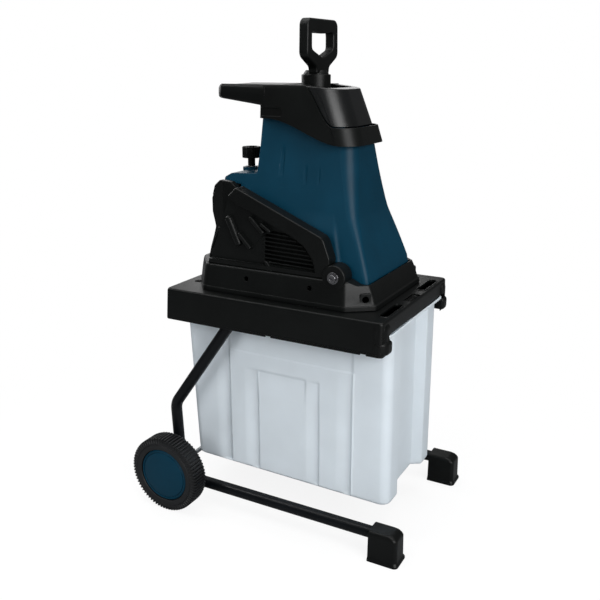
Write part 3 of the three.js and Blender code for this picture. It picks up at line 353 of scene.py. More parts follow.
def material(name, colour, roughness, metallic=0.0, grain=(0.0, 900.0), spread=0.25, gloss=0.5,
             stretch=(1, 1, 1)):
    """Principled finish with cloudy colour, uneven roughness and a fine bump from noise."""
    finish, nodes = new_material(name)
    depth, fineness = grain
    place = add_node(nodes, "Mapping", Vector=add_node(nodes, "TexCoord").outputs["Object"], Scale=stretch)

    def noise(size, detail):
        texture = add_node(nodes, "TexNoise", Vector=place.outputs["Vector"], Scale=size, Detail=detail)
        return texture.outputs["Fac"]

    cloud = add_node(nodes, "MapRange", Value=noise(CLOUD_SIZE, 4), From_Min=0.3, From_Max=0.7,
                     To_Min=1 - spread, To_Max=1 + spread)
    tint = add_node(nodes, "VectorMath", "SCALE", Vector=colour, Scale=cloud.outputs["Result"])
    rough = add_node(nodes, "MapRange", Value=noise(fineness * 0.35, 3), To_Min=roughness * 0.8,
                     To_Max=min(1, roughness * 1.2))
    bump = add_node(nodes, "Bump", Height=noise(fineness, 2), Strength=1, Distance=depth * MM)
    set_inputs(nodes["Principled BSDF"], Metallic=metallic, Specular_IOR_Level=gloss,
               Base_Color=tint.outputs["Vector"], Roughness=rough.outputs["Result"],
               Normal=bump.outputs["Normal"])
    return finish


def frosted(finish, share):
    """Lets part of the light through a plastic wall."""
    nodes = finish.node_tree.nodes
    through = add_node(nodes, "BsdfTranslucent", Color=(0.80, 0.87, 0.93, 1))
    mix = blend(nodes, share, nodes["Principled BSDF"], through)
    set_inputs(nodes["Material Output"], Surface=mix.outputs["Shader"])


CLOUD_SIZE = 14
LOOKS = {
    "black_plastic": dict(colour=(0.0024, 0.0029, 0.0028), roughness=0.40, grain=(0.05, 1100), gloss=0.20),
    "gloss_black_plastic": dict(colour=(0.003, 0.0035, 0.0038), roughness=0.32, grain=(0.012, 700),
                                gloss=0.42),
    "blue_plastic": dict(colour=(0.0014, 0.027, 0.050), roughness=0.42, grain=(0.02, 900), spread=0.10,
                         gloss=0.13),
    "box_plastic": dict(colour=(0.84, 0.90, 0.94), roughness=0.38, grain=(0.02, 500), spread=0.03),
    "black_steel": dict(colour=(0.0024, 0.0031, 0.0040), roughness=0.33, grain=(0.03, 600), gloss=0.2),
    "dark_steel": dict(colour=(0.20, 0.20, 0.21), roughness=0.28, metallic=1, grain=(0.02, 900)),
    "bare_steel": dict(colour=(0.42, 0.43, 0.44), roughness=0.34, metallic=1, grain=(0.02, 900),
                       stretch=(1, 1, 6)),
    "tyre_plastic": dict(colour=(0.0066, 0.0072, 0.0080), roughness=0.5, grain=(0.06, 900), gloss=0.35),
    "belt_rubber": dict(colour=(0.010, 0.010, 0.011), roughness=0.8, grain=(0.08, 700)),
    "red_plastic": dict(colour=(0.42, 0.016, 0.012), roughness=0.35, grain=(0.01, 800)),
    "green_plastic": dict(colour=(0.015, 0.17, 0.04), roughness=0.35, grain=(0.01, 800)),
    "motor_windings": dict(colour=(0.24, 0.09, 0.035), roughness=0.45, metallic=0.7, grain=(0.3, 500),
                           stretch=(1, 1, 8)),
}
finishes = {name: material(name, **look) for name, look in LOOKS.items()}
frosted(finishes["box_plastic"], 0.35)


def piece(thing, body, slot, node):
    """Names a finished form after the CAD node it stands for and hangs it on its body."""
    thing.name = node + "_form"
    thing.data.name = thing.name
    thing.data.materials.clear()
    thing.data.materials.append(finishes[slot])
    thing.data.shade_smooth()
    thing.data.set_sharp_from_angle(angle=radians(CREASE))
    weights = thing.modifiers.new("weights", "WEIGHTED_NORMAL")
    weights.keep_sharp = True
    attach(thing, body)
    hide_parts(node)


def pair(thing, bodies, slot, node):
    """A piece of the right side and its mirror image on the left."""
    twin = mirrored(thing)
    piece(thing, bodies[0], slot, "right_" + node)
    piece(twin, bodies[-1], slot, "left_" + node)


# ---- running gear and frame
def bent_path(corners, bend_radius, steps):
    corners = [Vector(corner) for corner in corners]
    path = [corners[0]]
    for before, here, after in zip(corners, corners[1:], corners[2:]):
        back = (before - here).normalized()
        ahead = (after - here).normalized()
        half = back.angle(ahead) / 2
        reach = bend_radius / tan(half)
        centre = here + (back + ahead).normalized() * bend_radius / sin(half)
        start = here + back * reach - centre
        end = here + ahead * reach - centre
        sweep = start.angle(end)
        for k in range(steps + 1):
            first = sin(sweep * (1 - k / steps)) / sin(sweep)
            second = sin(sweep * k / steps) / sin(sweep)
            path.append(centre + start * first + end * second)
    return path + [corners[-1]]


def rings_along(path, radius, sides):
    rings = []
    for i, point in enumerate(path):
        tangent = (path[min(i + 1, len(path) - 1)] - path[max(i - 1, 0)]).normalized()
        across = (Vector((0, 1, 0)) - tangent * tangent.y).normalized()
        up = across.cross(tangent)
        rings.append([tuple(point + across * radius * cos(a) + up * radius * sin(a))
                      for a in (2 * pi * k / sides for k in range(sides))])
    return rings


def frame_tube():
    path = bent_path([
        (FOOT.front - 16, -TUBE.low_y, TUBE.low_z),
        (LEG.foot_x, -TUBE.low_y, TUBE.low_z),
        (LEG.knee_x, -TUBE.low_y, LEG.knee_z),
        (LEG.top_x, -TUBE.high_y, TUBE.high_z),
        (POST.rear - 4, -TUBE.high_y, TUBE.high_z),
    ], TUBE.bend, 12)
    outer = rings_along(path, TUBE.radius, 32)
    inner = rings_along(path, TUBE.radius - TUBE.wall, 32)
    tube = skin(outer + inner[::-1], looped=True)
    low_hole = rod("y", HUB, WHEEL.bore, -TUBE.low_y - 20, -TUBE.low_y + 20, 24)
    screw_holes = [rod("z", (x, -TUBE.high_y), 3.4, TUBE.high_z - 20, TUBE.high_z + 20, 20)
                   for x in SCREW_X]
    return cut(tube, low_hole, *screw_holes)


def foot():
    middle = -(FOOT.inner + FOOT.outer) / 2
    half = (FOOT.outer - FOOT.inner) / 2

    def section(z, grow, front=0.0):
        return at(z, rounded([
            (FOOT.rear, middle - half - grow, 2),
            (FOOT.front - 3 + grow - front, middle - half - grow, 9),
            (FOOT.front - 3 + grow - front, middle + half + grow, 9),
            (FOOT.rear, middle + half + grow, 2),
        ], 8))

    body = skin([section(0, 2.2), section(0.8, 3), section(4, 3), section(5.2, 2.4), section(9, 0.2),
                 section(11, 0), section(56, -0.8), section(60, -1.6, 1.5), section(63.5, -3, 4),
                 section(66, -5.4, 7.5), section(67, -8, 10)])
    return cut(body, rod("x", (-TUBE.low_y, TUBE.low_z), TUBE.radius + GAP,
                         FOOT.rear - 1, FOOT.front - 15.5))


def wheel():
    """Wheel with fine cross ribs on its tread, a ringed side and a seat for the hub cap."""
    outer, inner, radius = -WHEEL.outer, -WHEEL.inner, WHEEL.radius
    side = [(WHEEL.bore, outer + 12), (22, outer + 12), (22, outer + 16), (61, outer + 16), (61, outer + 1),
            (61.8, outer), (72, outer), (73, outer + 0.9), (74, outer), (76, outer)]
    back = [(82.5, inner - 0.8), (80, inner), (66, inner), (66, inner - 18), (22, inner - 18), (22, inner),
            (WHEEL.bore, inner)]
    groove = 4.2
    per_rib = ((0.08, 0), (0.40, 0), (0.50, 1), (0.98, 1))  # share of a rib pitch, 0 crest and 1 groove
    rings = []
    for rib in range(WHEEL.ribs):
        for share, depth in per_rib:
            angle = 2 * pi * (rib + share) / WHEEL.ribs
            tread = [(79, outer + 0.2 + 1.4 * depth), (radius - 2.8 - 1.4 * depth, outer + 0.9 + 1.8 * depth),
                     (radius - 0.5 - groove * depth, outer + 2.6 + 1.2 * depth),
                     (radius - groove * depth, outer + 5), (radius - groove * depth, inner - 5),
                     (radius - 0.5 - groove * depth, inner - 2.6), (radius - 2.4 - 1.6 * depth, inner - 0.9)]
            rings.append([(WHEEL.x + r * cos(angle), y, radius + r * sin(angle))
                          for r, y in side + tread + back])
    return skin(rings, looped=True)


def hub_cap():
    """Shallow dished cap with a raised ring near its edge."""
    outer = -WHEEL.outer
    seat = outer + 16 - GAP
    profile = [(0, outer - 0.4), (20, outer - 0.2), (40, outer + 0.3), (50, outer + 0.9),
               (52.6, outer + 1.6), (53.4, outer + 3), (54.6, outer + 3), (55.2, outer + 1),
               (56.8, outer + 0.8), (57.6, outer + 1.8), (59.6, outer + 2.6), (59.6, seat), (54, seat),
               (54, outer + 6), (0, outer + 3)]
    return turned(profile, HUB, 96)


def push_nut():
    face = -WHEEL.outer + 12 - GAP
    return ring("y", HUB, 9, 5.05, face - 3, face, 32)


def axle_washer():
    return soften(ring("y", HUB, 10, 5.3, -WHEEL.inner + GAP, -TUBE.low_y - 14, 32), 0.4)


def axle():
    reach = WHEEL.outer - 7
    return rod("y", HUB, 5, -reach, reach, 32, 1, 1)


def frame_screw(x):
    """Pan-head screw with a cross recess, up through the top rail into the tray."""
    centre = (x, -TUBE.high_y)
    head_top = TUBE.high_z - TUBE.radius - GAP
    head = rod("z", centre, 6, head_top - 4, head_top, 28, 1.8, 0)
    shank = rod("z", centre, 2.9, head_top - 1, TRAY.top - 8, 20)
    slots = [moved(block((x - 3, centre[1] - 0.6, head_top - 5), (x + 3, centre[1] + 0.6, head_top - 2)),
                   turn=turn, about=(*centre, 0)) for turn in (0, pi / 2)]
    return cut(join(head, shank), *slots)


# ---- tray and collecting box
def corner_post():
    """Front corner post of the right side, with a large round front corner and a bulged foot."""
    outside = -TRAY.half - 3

    def section(z, grow, front):
        return at(z, rounded([
            (POST.rear, outside - grow, 3), (front, outside - grow, 20),
            (front, -POST.inner + grow, 5), (POST.rear, -POST.inner + grow, 3)], 10))

    low = POST.low_front
    front = POST.front
    return skin([section(POST.bottom, -1, low - 3), section(437.5, 0, low - 1), section(442, 0.3, low),
                 section(456, 0.3, low), section(459.5, 0, low - 1.5), section(461, -0.8, front),
                 section(484, -1, front), section(490, -1.4, front - 1), section(495, -2.6, front - 4),
                 section(498.5, -4.6, front - 8), section(POST.top, -7, front - 12)])


def tray():
    """Lid over the box with long skirts, front corner posts, framed slots and screw bosses."""
    def level(z, grow, radius=8):
        front = TRAY.front + min(grow, 0)
        return at(z, plan(TRAY.rear - grow, front, TRAY.half + grow, radius, radius, 8))

    top = TRAY.top
    skirt = TRAY.skirt
    outer = skin([level(skirt, 2.4), level(skirt + 1.2, 3), level(skirt + 6, 3),
                  level(top - 6, 0.4), level(top - 3, -0.2), level(top - 1, -1.4), level(top, -3.4)])
    inner = skin([level(skirt - 1, 0, 6), level(top - WALL, -WALL, 6)])
    half = TRAY.half
    behind = POST.rear - 6
    post = corner_post()
    front_gap = block((behind, -POST.inner, skirt - 2), (TRAY.front + 2, POST.inner, TRAY.apron))
    rim_passages = []
    for side in SIDES:
        low, high = sided(side, POST.inner - 1, RIM.half + 2)
        rim_passages.append(block((behind, low, RIM.bottom - 1.5), (POST.front + 6, high, RIM.top + 3.5)))
    bosses = [rod("z", (x, side * TUBE.high_y), 6, TUBE.high_z + TUBE.radius + GAP, top - 1, 24)
              for x in SCREW_X for side in SIDES]
    holes = [rod("z", (x, side * TUBE.high_y), 3.2, TUBE.high_z, top - 7, 20)
             for x in SCREW_X for side in SIDES]
    low, high = top - 12, top + 2

    def slot_outline(side, grow):
        return [(x, y + side * 103) for x, y in plan(233 - grow, 250 + grow, 44 + grow, 8 + grow, 8 + grow)]

    slots = [plate("z", slot_outline(side, 0), top - 14, high) for side in SIDES]
    wells = [plate("z", slot_outline(side, 2), top - 16, top - 1) for side in SIDES]
    lips = [plate("z", slot_outline(side, 3), top - 2, top + 1.4, 0, 1) for side in SIDES]
    lock_opening = plate("z", plan(LOCK_X - 9, LOCK_X + 9, 28, 2, 2), low, high)
    outlet = plate("z", plan(100, 160, 55, 6, 6), low, high)
    shaft_hole = rod("z", (CHAMBER.x, 0), 14, low, high)
    rear_holes = [rod("z", (-214, side * 107), 5, low, high, 24) for side in SIDES]
    rear_dishes = [rod("z", (-214, side * 107), 9, top - 1.6, top + 2, 32, 1.5, 0) for side in SIDES]
    notches = [block((x, -half - 6, skirt - 2), (x + 12, half + 6, skirt + 3)) for x in (4, 214)]
    shell = cut(outer, inner, front_gap)
    shell = join(shell, mirrored(post), post, *bosses, *lips, *wells)
    shell = cut(shell, *rim_passages, *holes, *slots, lock_opening, outlet, shaft_hole, *rear_holes,
                *rear_dishes, *notches)
    return soften(shell, 0.7, 2)


FLUTES = [(-161, -119, 455), (-86, -46, 335), (65, 102, 335), (138, 177, 455)]  # from x, to x, top z


def box_relief(x, z):
    """How far the side wall of the collecting box stands out from its plain face."""
    raised = 2.2 * smooth(x, -123, -118) * smooth(-x, -182, -177) * smooth(-z, -370, -364)
    flute = 0.0
    for start, end, top in FLUTES:
        depth = 4.6 * smooth(-z, -top, 8 - top) * (0.45 + 0.55 * smooth(-z, -330, -240))
        flute += depth * smooth(x, start, start + 30) * smooth(-x, -end, 5 - end)
    panel = 2.6 * smooth(x, -48, -44) * smooth(-x, -70, -64) * smooth(-z, -333, -328) * smooth(z, 255, 328)
    return raised - flute - panel


def box_outline(rear, front, half, channel, grow=0.0, z=None):
    """Plan outline of the box with the channel of its front face; z adds the side relief."""
    mouth = 74 + grow
    depth = front - grow - channel
    corners = rounded(symmetric([(rear + grow, -half + grow, 18), (front - grow, -half + grow, 20),
                                 (front - grow, -mouth, 6), (depth, -mouth + 14, 6)]), 6)
    steps = {-123, -121, -48, -44, -6, 29, 64, 70, 179, 182, 200, 220}
    for start, end, _ in FLUTES:
        steps |= {start + 6 * k for k in range(6)} | {end - 5, end - 2.5, end}
    near = [(x, -half + grow) for x in sorted(steps)]
    far = [(x, half - grow) for x in sorted(steps, reverse=True)]
    outline = corners[:7] + near + corners[7:-7] + far + corners[-7:]
    if z is None:
        return outline
    return [(x, y + copysign(1, y) * box_relief(x, z)) if abs(abs(y) - half + grow) < 0.01 else (x, y)
            for x, y in outline]


def collection_box():
    wall = BOX.wall
    high = RIM.bottom

    def floor_at(x):
        return BOX.bottom + BOX.tilt * (BOX.front - x) / (BOX.front - BOX.floor_rear)

    def side(z, grow=0.0, relief=True):
        """A ring around the walls; near the floor it follows the floor's slope."""
        share = (z - BOX.bottom) / (high - BOX.bottom)
        rear = BOX.floor_rear + (BOX.rear - BOX.floor_rear) * share
        ring_points = box_outline(rear, BOX.front + 1 - 3 * share, BOX.half - 1 + 2 * share,
                                  BOX.channel, grow, z if relief else None)
        slope = max(0.0, 1 - (z - BOX.bottom) / 60)
        return [(x, y, z + slope * (floor_at(x) - BOX.bottom)) for x, y in ring_points]

    def rim(z, grow=0.0):
        return at(z, box_outline(RIM.rear, RIM.front, RIM.half, 1, grow))

    low = BOX.bottom
    heights = [low + 7, low + 11, 120, 160, 200, 240, 255, 270, 285, 300, 315, 327, 330, 333, 336,
               345, 355, 364, 366, 368, 370, 390, 410, 430, 447, 450, 453, 456, high - 2.4]
    outer = [side(low, 6, False), side(low + 1.6, 2.4, False), side(low + 4, 0.6, False)]
    outer += [side(z) for z in heights]
    inner = [side(z, wall) for z in reversed(heights)] + [side(low + 5, 3, False), side(low + wall, 7, False)]
    flange = [rim(high, 1), rim(high + 0.8), rim(RIM.top - 0.8), rim(RIM.top, 0.7), rim(RIM.top, wall),
              rim(high + wall, wall), side(high + wall, wall, False)]
    shell = skin(outer + flange + inner)
    slot = block((LOCK_X - 8, -26, high - 3), (LOCK_X + 8, 26, RIM.top + 1))
    return cut(shell, slot)


def box_lock_slider():
    body = plate("z", plan(LOCK_X - 6.5, LOCK_X + 6.5, 24, 1.5, 1.5, 3), 470, 500, 0.8, 0.8)
    grips = [plate("z", plan(LOCK_X + offset - 1, LOCK_X + offset + 1, 19, 0.6, 0.6, 3), 499, 501.5, 0, 0.6)
             for offset in (-4, 0, 4)]
    return join(body, *grips)


# ---- machine housing
def base_outline(shrink):
    rear = BASE.rear + shrink
    front = BASE.front - 2.05 * shrink
    half = BASE.half - shrink
    bulge = -166 + 0.4 * shrink
    facet_x = FACET.x - 0.4 * shrink
    facet_y = FACET.y - 0.4 * shrink
    return rounded(symmetric([(rear, -92, 20), (bulge, -half, 26), (facet_x, -half, 14),
                              (front, -facet_y, 12)]), 8)


def under_base_top(drop):
    """Everything below the base's top, which drops to a lower rim at the front."""
    top = BASE.top + 1 - drop
    rim = BASE_RIM.z - drop
    return plate("y", rounded([(-260, 480), (260, 480), (260, rim), (BASE_RIM.front, rim, 14),
                               (BASE_RIM.rear, top, 14), (-260, top)], 6), -200, 200)


def facet_plate(side):
    """Small raised plate around the hole in the cut front corner of one side."""
    turn = side * atan2(BASE.front - FACET.x, BASE.half - FACET.y)
    lid = plate("x", rectangle(-11, 11, 512, 537, 4, 5), -6, 0.6, 0, 1)
    hole = rod("x", (0, 525), 6.5, -12, 12, 32)
    spot = (198, side * 129.5, 0)
    return moved(lid, offset=spot, turn=turn), moved(hole, offset=spot, turn=turn)


def base_housing():
    taper = BASE.taper
    top, bottom = BASE.top, BASE.bottom
    profile = [(bottom, 1.2), (bottom + 1.2, 0.2), (bottom + 10, 0.6), (bottom + 12, 2.2), (bottom + 26, 4.4),
               (bottom + 40, 7), (top - 6, taper - 1.4), (top - 3, taper - 0.4), (top - 1.2, taper + 0.9),
               (top, taper + 3)]
    outer = skin([at(z, base_outline(shrink)) for z, shrink in profile])
    outer = common(outer, under_base_top(0))
    inner = skin([at(bottom - 1, inset(base_outline(0), WALL)),
                  at(top - WALL, inset(base_outline(taper), WALL))])
    inner = common(inner, under_base_top(WALL))
    lip_room = block((133, -114, bottom - 1), (197.6, 114, top + 1))
    pan, kept_pan = [rod("z", SPINDLE, CHAMBER.radius + WALL, CHAMBER.floor, CHAMBER.top, 72)
                     for _ in range(2)]
    well = rod("z", SPINDLE, CHAMBER.radius, CHAMBER.floor + WALL, CHAMBER.top + 1, 72)
    boss = rod("z", SPINDLE, 22, 521, CHAMBER.floor + 1)
    bearing_bore = rod("z", SPINDLE, 17.6, 518, CHAMBER.floor - 2)
    spindle_bore = rod("z", SPINDLE, 9, 518, CHAMBER.floor + 5)
    outlet_walls = plate("z", plan(102, 158, 52, 5, 5), bottom, CHAMBER.floor + 1)
    outlet = plate("z", plan(105, 155, 49, 4, 4), bottom - 1, CHAMBER.floor + WALL + 1)
    motor_hole = rod("z", (MOTOR_X, 0), 52, bottom, top + 1)
    bolt_bore = rod("y", PIVOT, HINGE.bolt + GAP, -HINGE.face - 1, HINGE.face + 1, 24)
    ears = []
    for side in SIDES:
        rims = (3, 0) if side < 0 else (0, 3)
        ears.append(rod("y", PIVOT, HINGE.boss, *sided(side, COVER.inner, HINGE.face), 64, *rims))
        web = [(113, top - 12), (163, top - 12), (160, HINGE.z), (115, HINGE.z)]
        ears.append(plate("y", web, *sided(side, COVER.inner, COVER.outer - 6)))
    screw_seats = [rod("y", (x, 539), 5, *sided(side, BASE.half - 12, BASE.half + 4), 28)
                   for x in (-60, 87) for side in SIDES]
    facets = [facet_plate(side) for side in SIDES]
    pillars = [rod("z", (-150, side * 80), 7, bottom, top - 1, 24) for side in SIDES]
    shell = join(cut(outer, inner), *pillars)
    shell = cut(shell, cut(lip_room, kept_pan), motor_hole)
    shell = join(shell, pan, boss, outlet_walls, *ears, *[lid for lid, hole in facets])
    shell = cut(shell, well, bearing_bore, spindle_bore, outlet, bolt_bore, *screw_seats,
                *[hole for lid, hole in facets])
    return soften(shell, 0.8, 2)


def cover_outline(grow=0.0):
    floor = BASE.top + GAP + grow
    return rounded([
        (-160 + grow, floor), (126 - grow, floor), (127 - grow, 600 - grow, 12), (112 - grow, 640 - grow, 22),
        (40, 671 - grow, 120), (-86, 724 - grow, 5), (-108 + grow, 703, 6), (-118 + grow, 676, 20),
    ], 8)


def slanted_bar(start, end, wide, low, high):
    """Round-ended bar between two x-z points, domed on the side where y is low."""
    (x0, z0), (x1, z1) = start, end
    length = hypot(x1 - x0, z1 - z0)
    capsule = rectangle(-length / 2, length / 2, -wide / 2, wide / 2, wide * 0.45, 6)
    bar = plate("y", capsule, low, high, wide * 0.42, 0)
    return moved(bar, offset=((x0 + x1) / 2, 0, (z0 + z1) / 2), turn=-atan2(z1 - z0, x1 - x0), axis="Y")


def side_cover():
    """Arched cover: proud band along its top and front, ribs and louvres on the lower field."""
    outer, inner = -COVER.outer, -COVER.inner
    shell = plate("y", cover_outline(), outer, inner, 3, 0)
    shell = cut(shell, plate("y", cover_outline(WALL), outer + 13, inner + 1))
    field = plate("y", rounded([
        (-170, 570), (96, 570), (92, 592, 12), (72, 620, 16), (40, 640, 16), (6, 652, 20), (-52, 680, 20),
        (-84, 690, 6), (-103, 704, 3), (-112, 716), (-170, 716)], 6), outer - 1, outer + 9)
    shell = cut(shell, field)
    vent = plate("y", rounded([
        (-24, 573, 3), (90, 573, 4), (84, 596, 6), (64, 620, 12), (24, 640, 6), (-22, 644, 4)], 6),
        outer + 7, outer + 20)
    slats = []
    for i in range(8):
        z = 575.5 + 8.6 * i
        front = between(z, [(573, 92), (596, 85), (620, 65), (644, 16)])
        blade = rounded([(-26, z, 1), (front, z - 2.4, 1), (front, z + 0.6, 1), (-26, z + 3.0, 1)], 3)
        slats.append(plate("y", blade, outer + 6.5, outer + 13))
    # A dark sheet across the inside of the cover, behind the louvres: it stands in for the shade inside the
    # housing, so the vents read dark instead of showing the blue hopper through them.
    shade_backing = plate("y", cover_outline(WALL - 1), inner - 2.5, inner)
    shell = join(cut(shell, vent), shade_backing)
    bars = [((-56, 667), (-23, 635), 9), ((-84, 631), (-54, 600), 9), ((-110, 664), (-82, 603), 15),
            ((-19, 579), (-3, 559), 8), ((-30, 655), (-6, 640), 7)]
    ribs = [slanted_bar(start, end, wide, outer - 0.6, outer + 12) for start, end, wide in bars]
    shell = join(shell, *slats, *ribs)
    shell = cut(shell, rod("y", PIVOT, HINGE.boss + GAP, outer - 1, inner + 1, 64))
    return soften(shell, 1.0, 2)


def rear_outline(grow=0.0):
    rear = REAR.rear + grow
    foot = REAR.foot + grow
    return rounded([
        (REAR.front, BASE.top + GAP), (REAR.front, REAR.top - grow), (-152, REAR.top - grow, 4),
        (-164 + grow * 0.8, 714 - grow * 0.6, 3), (rear, 690, 6), (rear, 661, 10),
        (REAR.waist + grow, 630, 12), (foot, BASE.top + 6, 3), (foot, BASE.top + GAP)], 6)


SWITCH_CENTRE = (-170, 702)
SWITCH_TURN = atan2(12, -24)  # direction out of the switch face, in the x-z plane
SWITCHES = {  # y, radius, height, finish
    "off": (-72, 11, 9, "red_plastic"),
    "on": (-45, 8, 4, "green_plastic"),
    "reset": (-24, 5, 4, "red_plastic"),
}


def switch_rod(y, radius, low, high, high_round=0, sides=40):
    bar = rod("x", (0, 0), radius, low, high, sides, 0, high_round)
    return moved(moved(bar, turn=-SWITCH_TURN, axis="Y"), offset=(SWITCH_CENTRE[0], y, SWITCH_CENTRE[1]))


def rear_cheeks():
    """Raised shoulders on both sides of the hopper's shelf."""
    outline = rounded([(-119, 700), (-102, 702), (-104, 716, 3), (-119, 729, 5), (-148, 731, 10),
                       (-166, 718, 8), (-174, 697)], 6)
    return [plate("y", outline, *sided(side, 98, REAR.half), *((2, 0) if side < 0 else (0, 2)))
            for side in SIDES]


def rear_ridges():
    """Slanted ridges low on the rear face."""
    middle, z = 74, 597
    outline = rectangle(-3.5, 3.5, -30, 30, 3, 4)
    ridges = []
    for side in SIDES:
        for foot_y in (88, 60):
            lean = atan2(middle - foot_y, 54)
            bar = plate("x", outline, -4, 2.4, 0, 2)
            bar = moved(bar, turn=side * lean, axis="X")
            bar = moved(bar, turn=pi + atan2(24, 64), axis="Y")
            ridges.append(moved(bar, offset=(-178.5, side * (middle + foot_y) / 2, z)))
    return ridges


def corner_ridges():
    """Pairs of ridges that spread downwards on the cut rear corners."""
    right = [moved(slanted_bar((8, 630), (foot_x, 579), 6, -2.4, 2), offset=(-160, -105.5, 0),
                   turn=-atan2(22, 62)) for foot_x in (-24, 11)]
    return right + [mirrored(bar) for bar in right]


def rear_corners(outer_y, inner_y, front, low, high):
    """What cuts the two rear corners of the housing square to the ground."""
    behind = -198
    return [plate("z", [(behind, side * inner_y), (front, side * outer_y), (behind, side * (REAR.half + 1))],
                  low, high) for side in SIDES]


def rear_housing():
    half = REAR.half
    hollow = [(REAR.front + 1, BASE.top - 1), (REAR.front + 1, REAR.top - WALL)]
    hollow += rear_outline(WALL)[2:-1] + [(REAR.foot + WALL, BASE.top - 1)]
    outer = join(plate("y", rear_outline(), -half, half), *rear_cheeks())
    outer = cut(outer, *rear_corners(half + 1, 92, -136, BASE.top - 1, REAR.top + 12))
    inner = plate("y", hollow, -half + WALL, half - WALL)
    inner = cut(inner, *rear_corners(half - 2, 86, -126, BASE.top - 2, REAR.top + 2))
    seat = rod("z", LOCK_SCREW, 17, REAR.top - 18, REAR.top - 1)
    recess = rod("z", LOCK_SCREW, 13, REAR.top - 14, REAR.top + 1)
    vent = rectangle(0, 12, 576, 622, 2, 3)
    vents = [plate("x", [(y - 70 + 24 * i, z) for y, z in vent], -200, -160) for i in range(6)]
    button_holes = [switch_rod(y, radius + GAP, -12, 8) for y, radius, *_ in SWITCHES.values()]
    bezel = cut(switch_plate(-88, -12, 15, -1, 2.2), switch_plate(-85.5, -14.5, 12.5, 0.8, 4))
    inlet_hole = block((INLET.rear - 8, INLET.inner, INLET.bottom), (INLET.front + 2, INLET.outer, INLET.top))
    shell = join(cut(outer, inner), seat, bezel, *rear_ridges(), *corner_ridges())
    return soften(cut(shell, recess, *vents, *button_holes, inlet_hole), 1.0, 2)


def switch_plate(low_y, high_y, half, low, high):
    """A flat rounded panel lying on the switch face."""
    bar = plate("x", rectangle(low_y, high_y, -half, half, 6, 5), low, high)
    return moved(moved(bar, turn=-SWITCH_TURN, axis="Y"), offset=(SWITCH_CENTRE[0], 0, SWITCH_CENTRE[1]))


def push_button(y, radius, height):
    return join(switch_rod(y, radius, -7, height, 1.5), switch_rod(y, radius + 2, -9, -6.5))


def power_inlet():
    body = block((INLET.rear, INLET.inner + GAP, INLET.bottom + GAP),
                 (INLET.front, INLET.outer - GAP, INLET.top - GAP))
    socket = block((INLET.rear - 1, INLET.inner + 4, INLET.bottom + 4),
                   (INLET.front - 4, INLET.outer - 4, INLET.top - 4))
    shell = cut(soften(body, 1.2, 3), socket)
    pins = [block((-173, y - 1, 654), (-161, y + 3, 662)) for y in (43, 55)]
    return join(shell, *pins)


# ---- knife disc
def blade_disc():
    disc = rod("z", SPINDLE, 88, 566, 570, 96, 0.5, 0.5)
    window = rectangle(21, 75, 14, 26, 3, 4)
    windows = [moved(plate("z", window, 560, 575), offset=(CHAMBER.x, 0, 0), turn=turn) for turn in (0, pi)]
    return cut(disc, rod("z", SPINDLE, 8.1, 560, 575, 32), *windows)


# ---- tilting hopper
TOWER_FRONT = [(540, 197), (566, 192.5), (660, 159), (672, 155), (690, 151.5), (720, 147), (800, 136),
               (862, 125)]
TOWER_HALF = [(540, 112), (566, 112), (667, 91.5), (720, 81.5), (800, 66), (862, 58)]
MARKS = [(-21, 5, 743, 805), (35.5, 3.6, 731, 772), (66.5, 2.2, 731, 769)]  # x, half width, from z, to z


def tower_relief(x, z):
    """How far the side of the hopper stands out: the hinge swelling and three narrow marks."""
    crease = 108 + (675 - z) * 24 / 93
    swell = 4.8 * smooth(-z, -684, -640) * smooth(-x, -crease - 5, -crease + 5)
    swell *= smooth(x, -40, 60) * smooth(z, 540, 575)
    marks = 0.0
    for middle, half, low, high in MARKS:
        across = abs(x - middle - (high - z) * 0.03)
        along = smooth(z, low, low + 4) * smooth(-z, -high, 18 - high)
        marks += 1.8 * smooth(across, half + 1.2, half - 1.2) * along
    return swell - marks


def tower(grow=0.0, plain=False):
    heights = [540, 546, 553, 560, 566] + [566 + 6 * k for k in range(1, 49)] + [862]
    rings = []
    for z in heights:
        front = between(z, TOWER_FRONT) - grow
        half = between(z, TOWER_HALF) - grow
        corner = 12 + 20 * smooth(z, 590, 780) - grow
        sides = [-200 + 8 * k for k in range(15)]
        sides += [-78 + (front - corner + 78) * k / 90 for k in range(91)]
        wall = [(x, -half - (0 if plain else tower_relief(x, z))) for x in sides]
        end = wall[-1][1]
        arc = [(front - corner + corner * sin(a), end + corner - corner * cos(a))
               for a in (pi / 2 * k / 12 for k in range(13))]
        right = wall[:-1] + arc
        ring_points = right + [(x, -y) for x, y in reversed(right)]
        rings.append(at(z, ring_points))
    return skin(rings)


def hopper_side():
    shelf, rear = SHELF.top, SHELF.rear
    return rounded([
        (200, 842), (112, 842), (112, 862), (-58, 862), (-58, 856.5), (-72, 856.5), (-77, shelf, 8),
        (-140, shelf - 3, 12), (rear, shelf - 12, 6), (rear, 721), (-114, 721), (-114, 676), (100, 566),
        (150, 566), (150, 548), (200, 548)], 8)


def hopper_room():
    """Side view of the room inside the blue moulding, open above and below."""
    shelf, rear = SHELF.top - WALL, SHELF.rear + WALL
    return rounded([
        (200, 900), (-69, 900), (-69, 856.5), (-74, shelf, 8), (-140, shelf - 3, 12),
        (rear, shelf - 12, 6), (rear, 500), (200, 500)], 8)


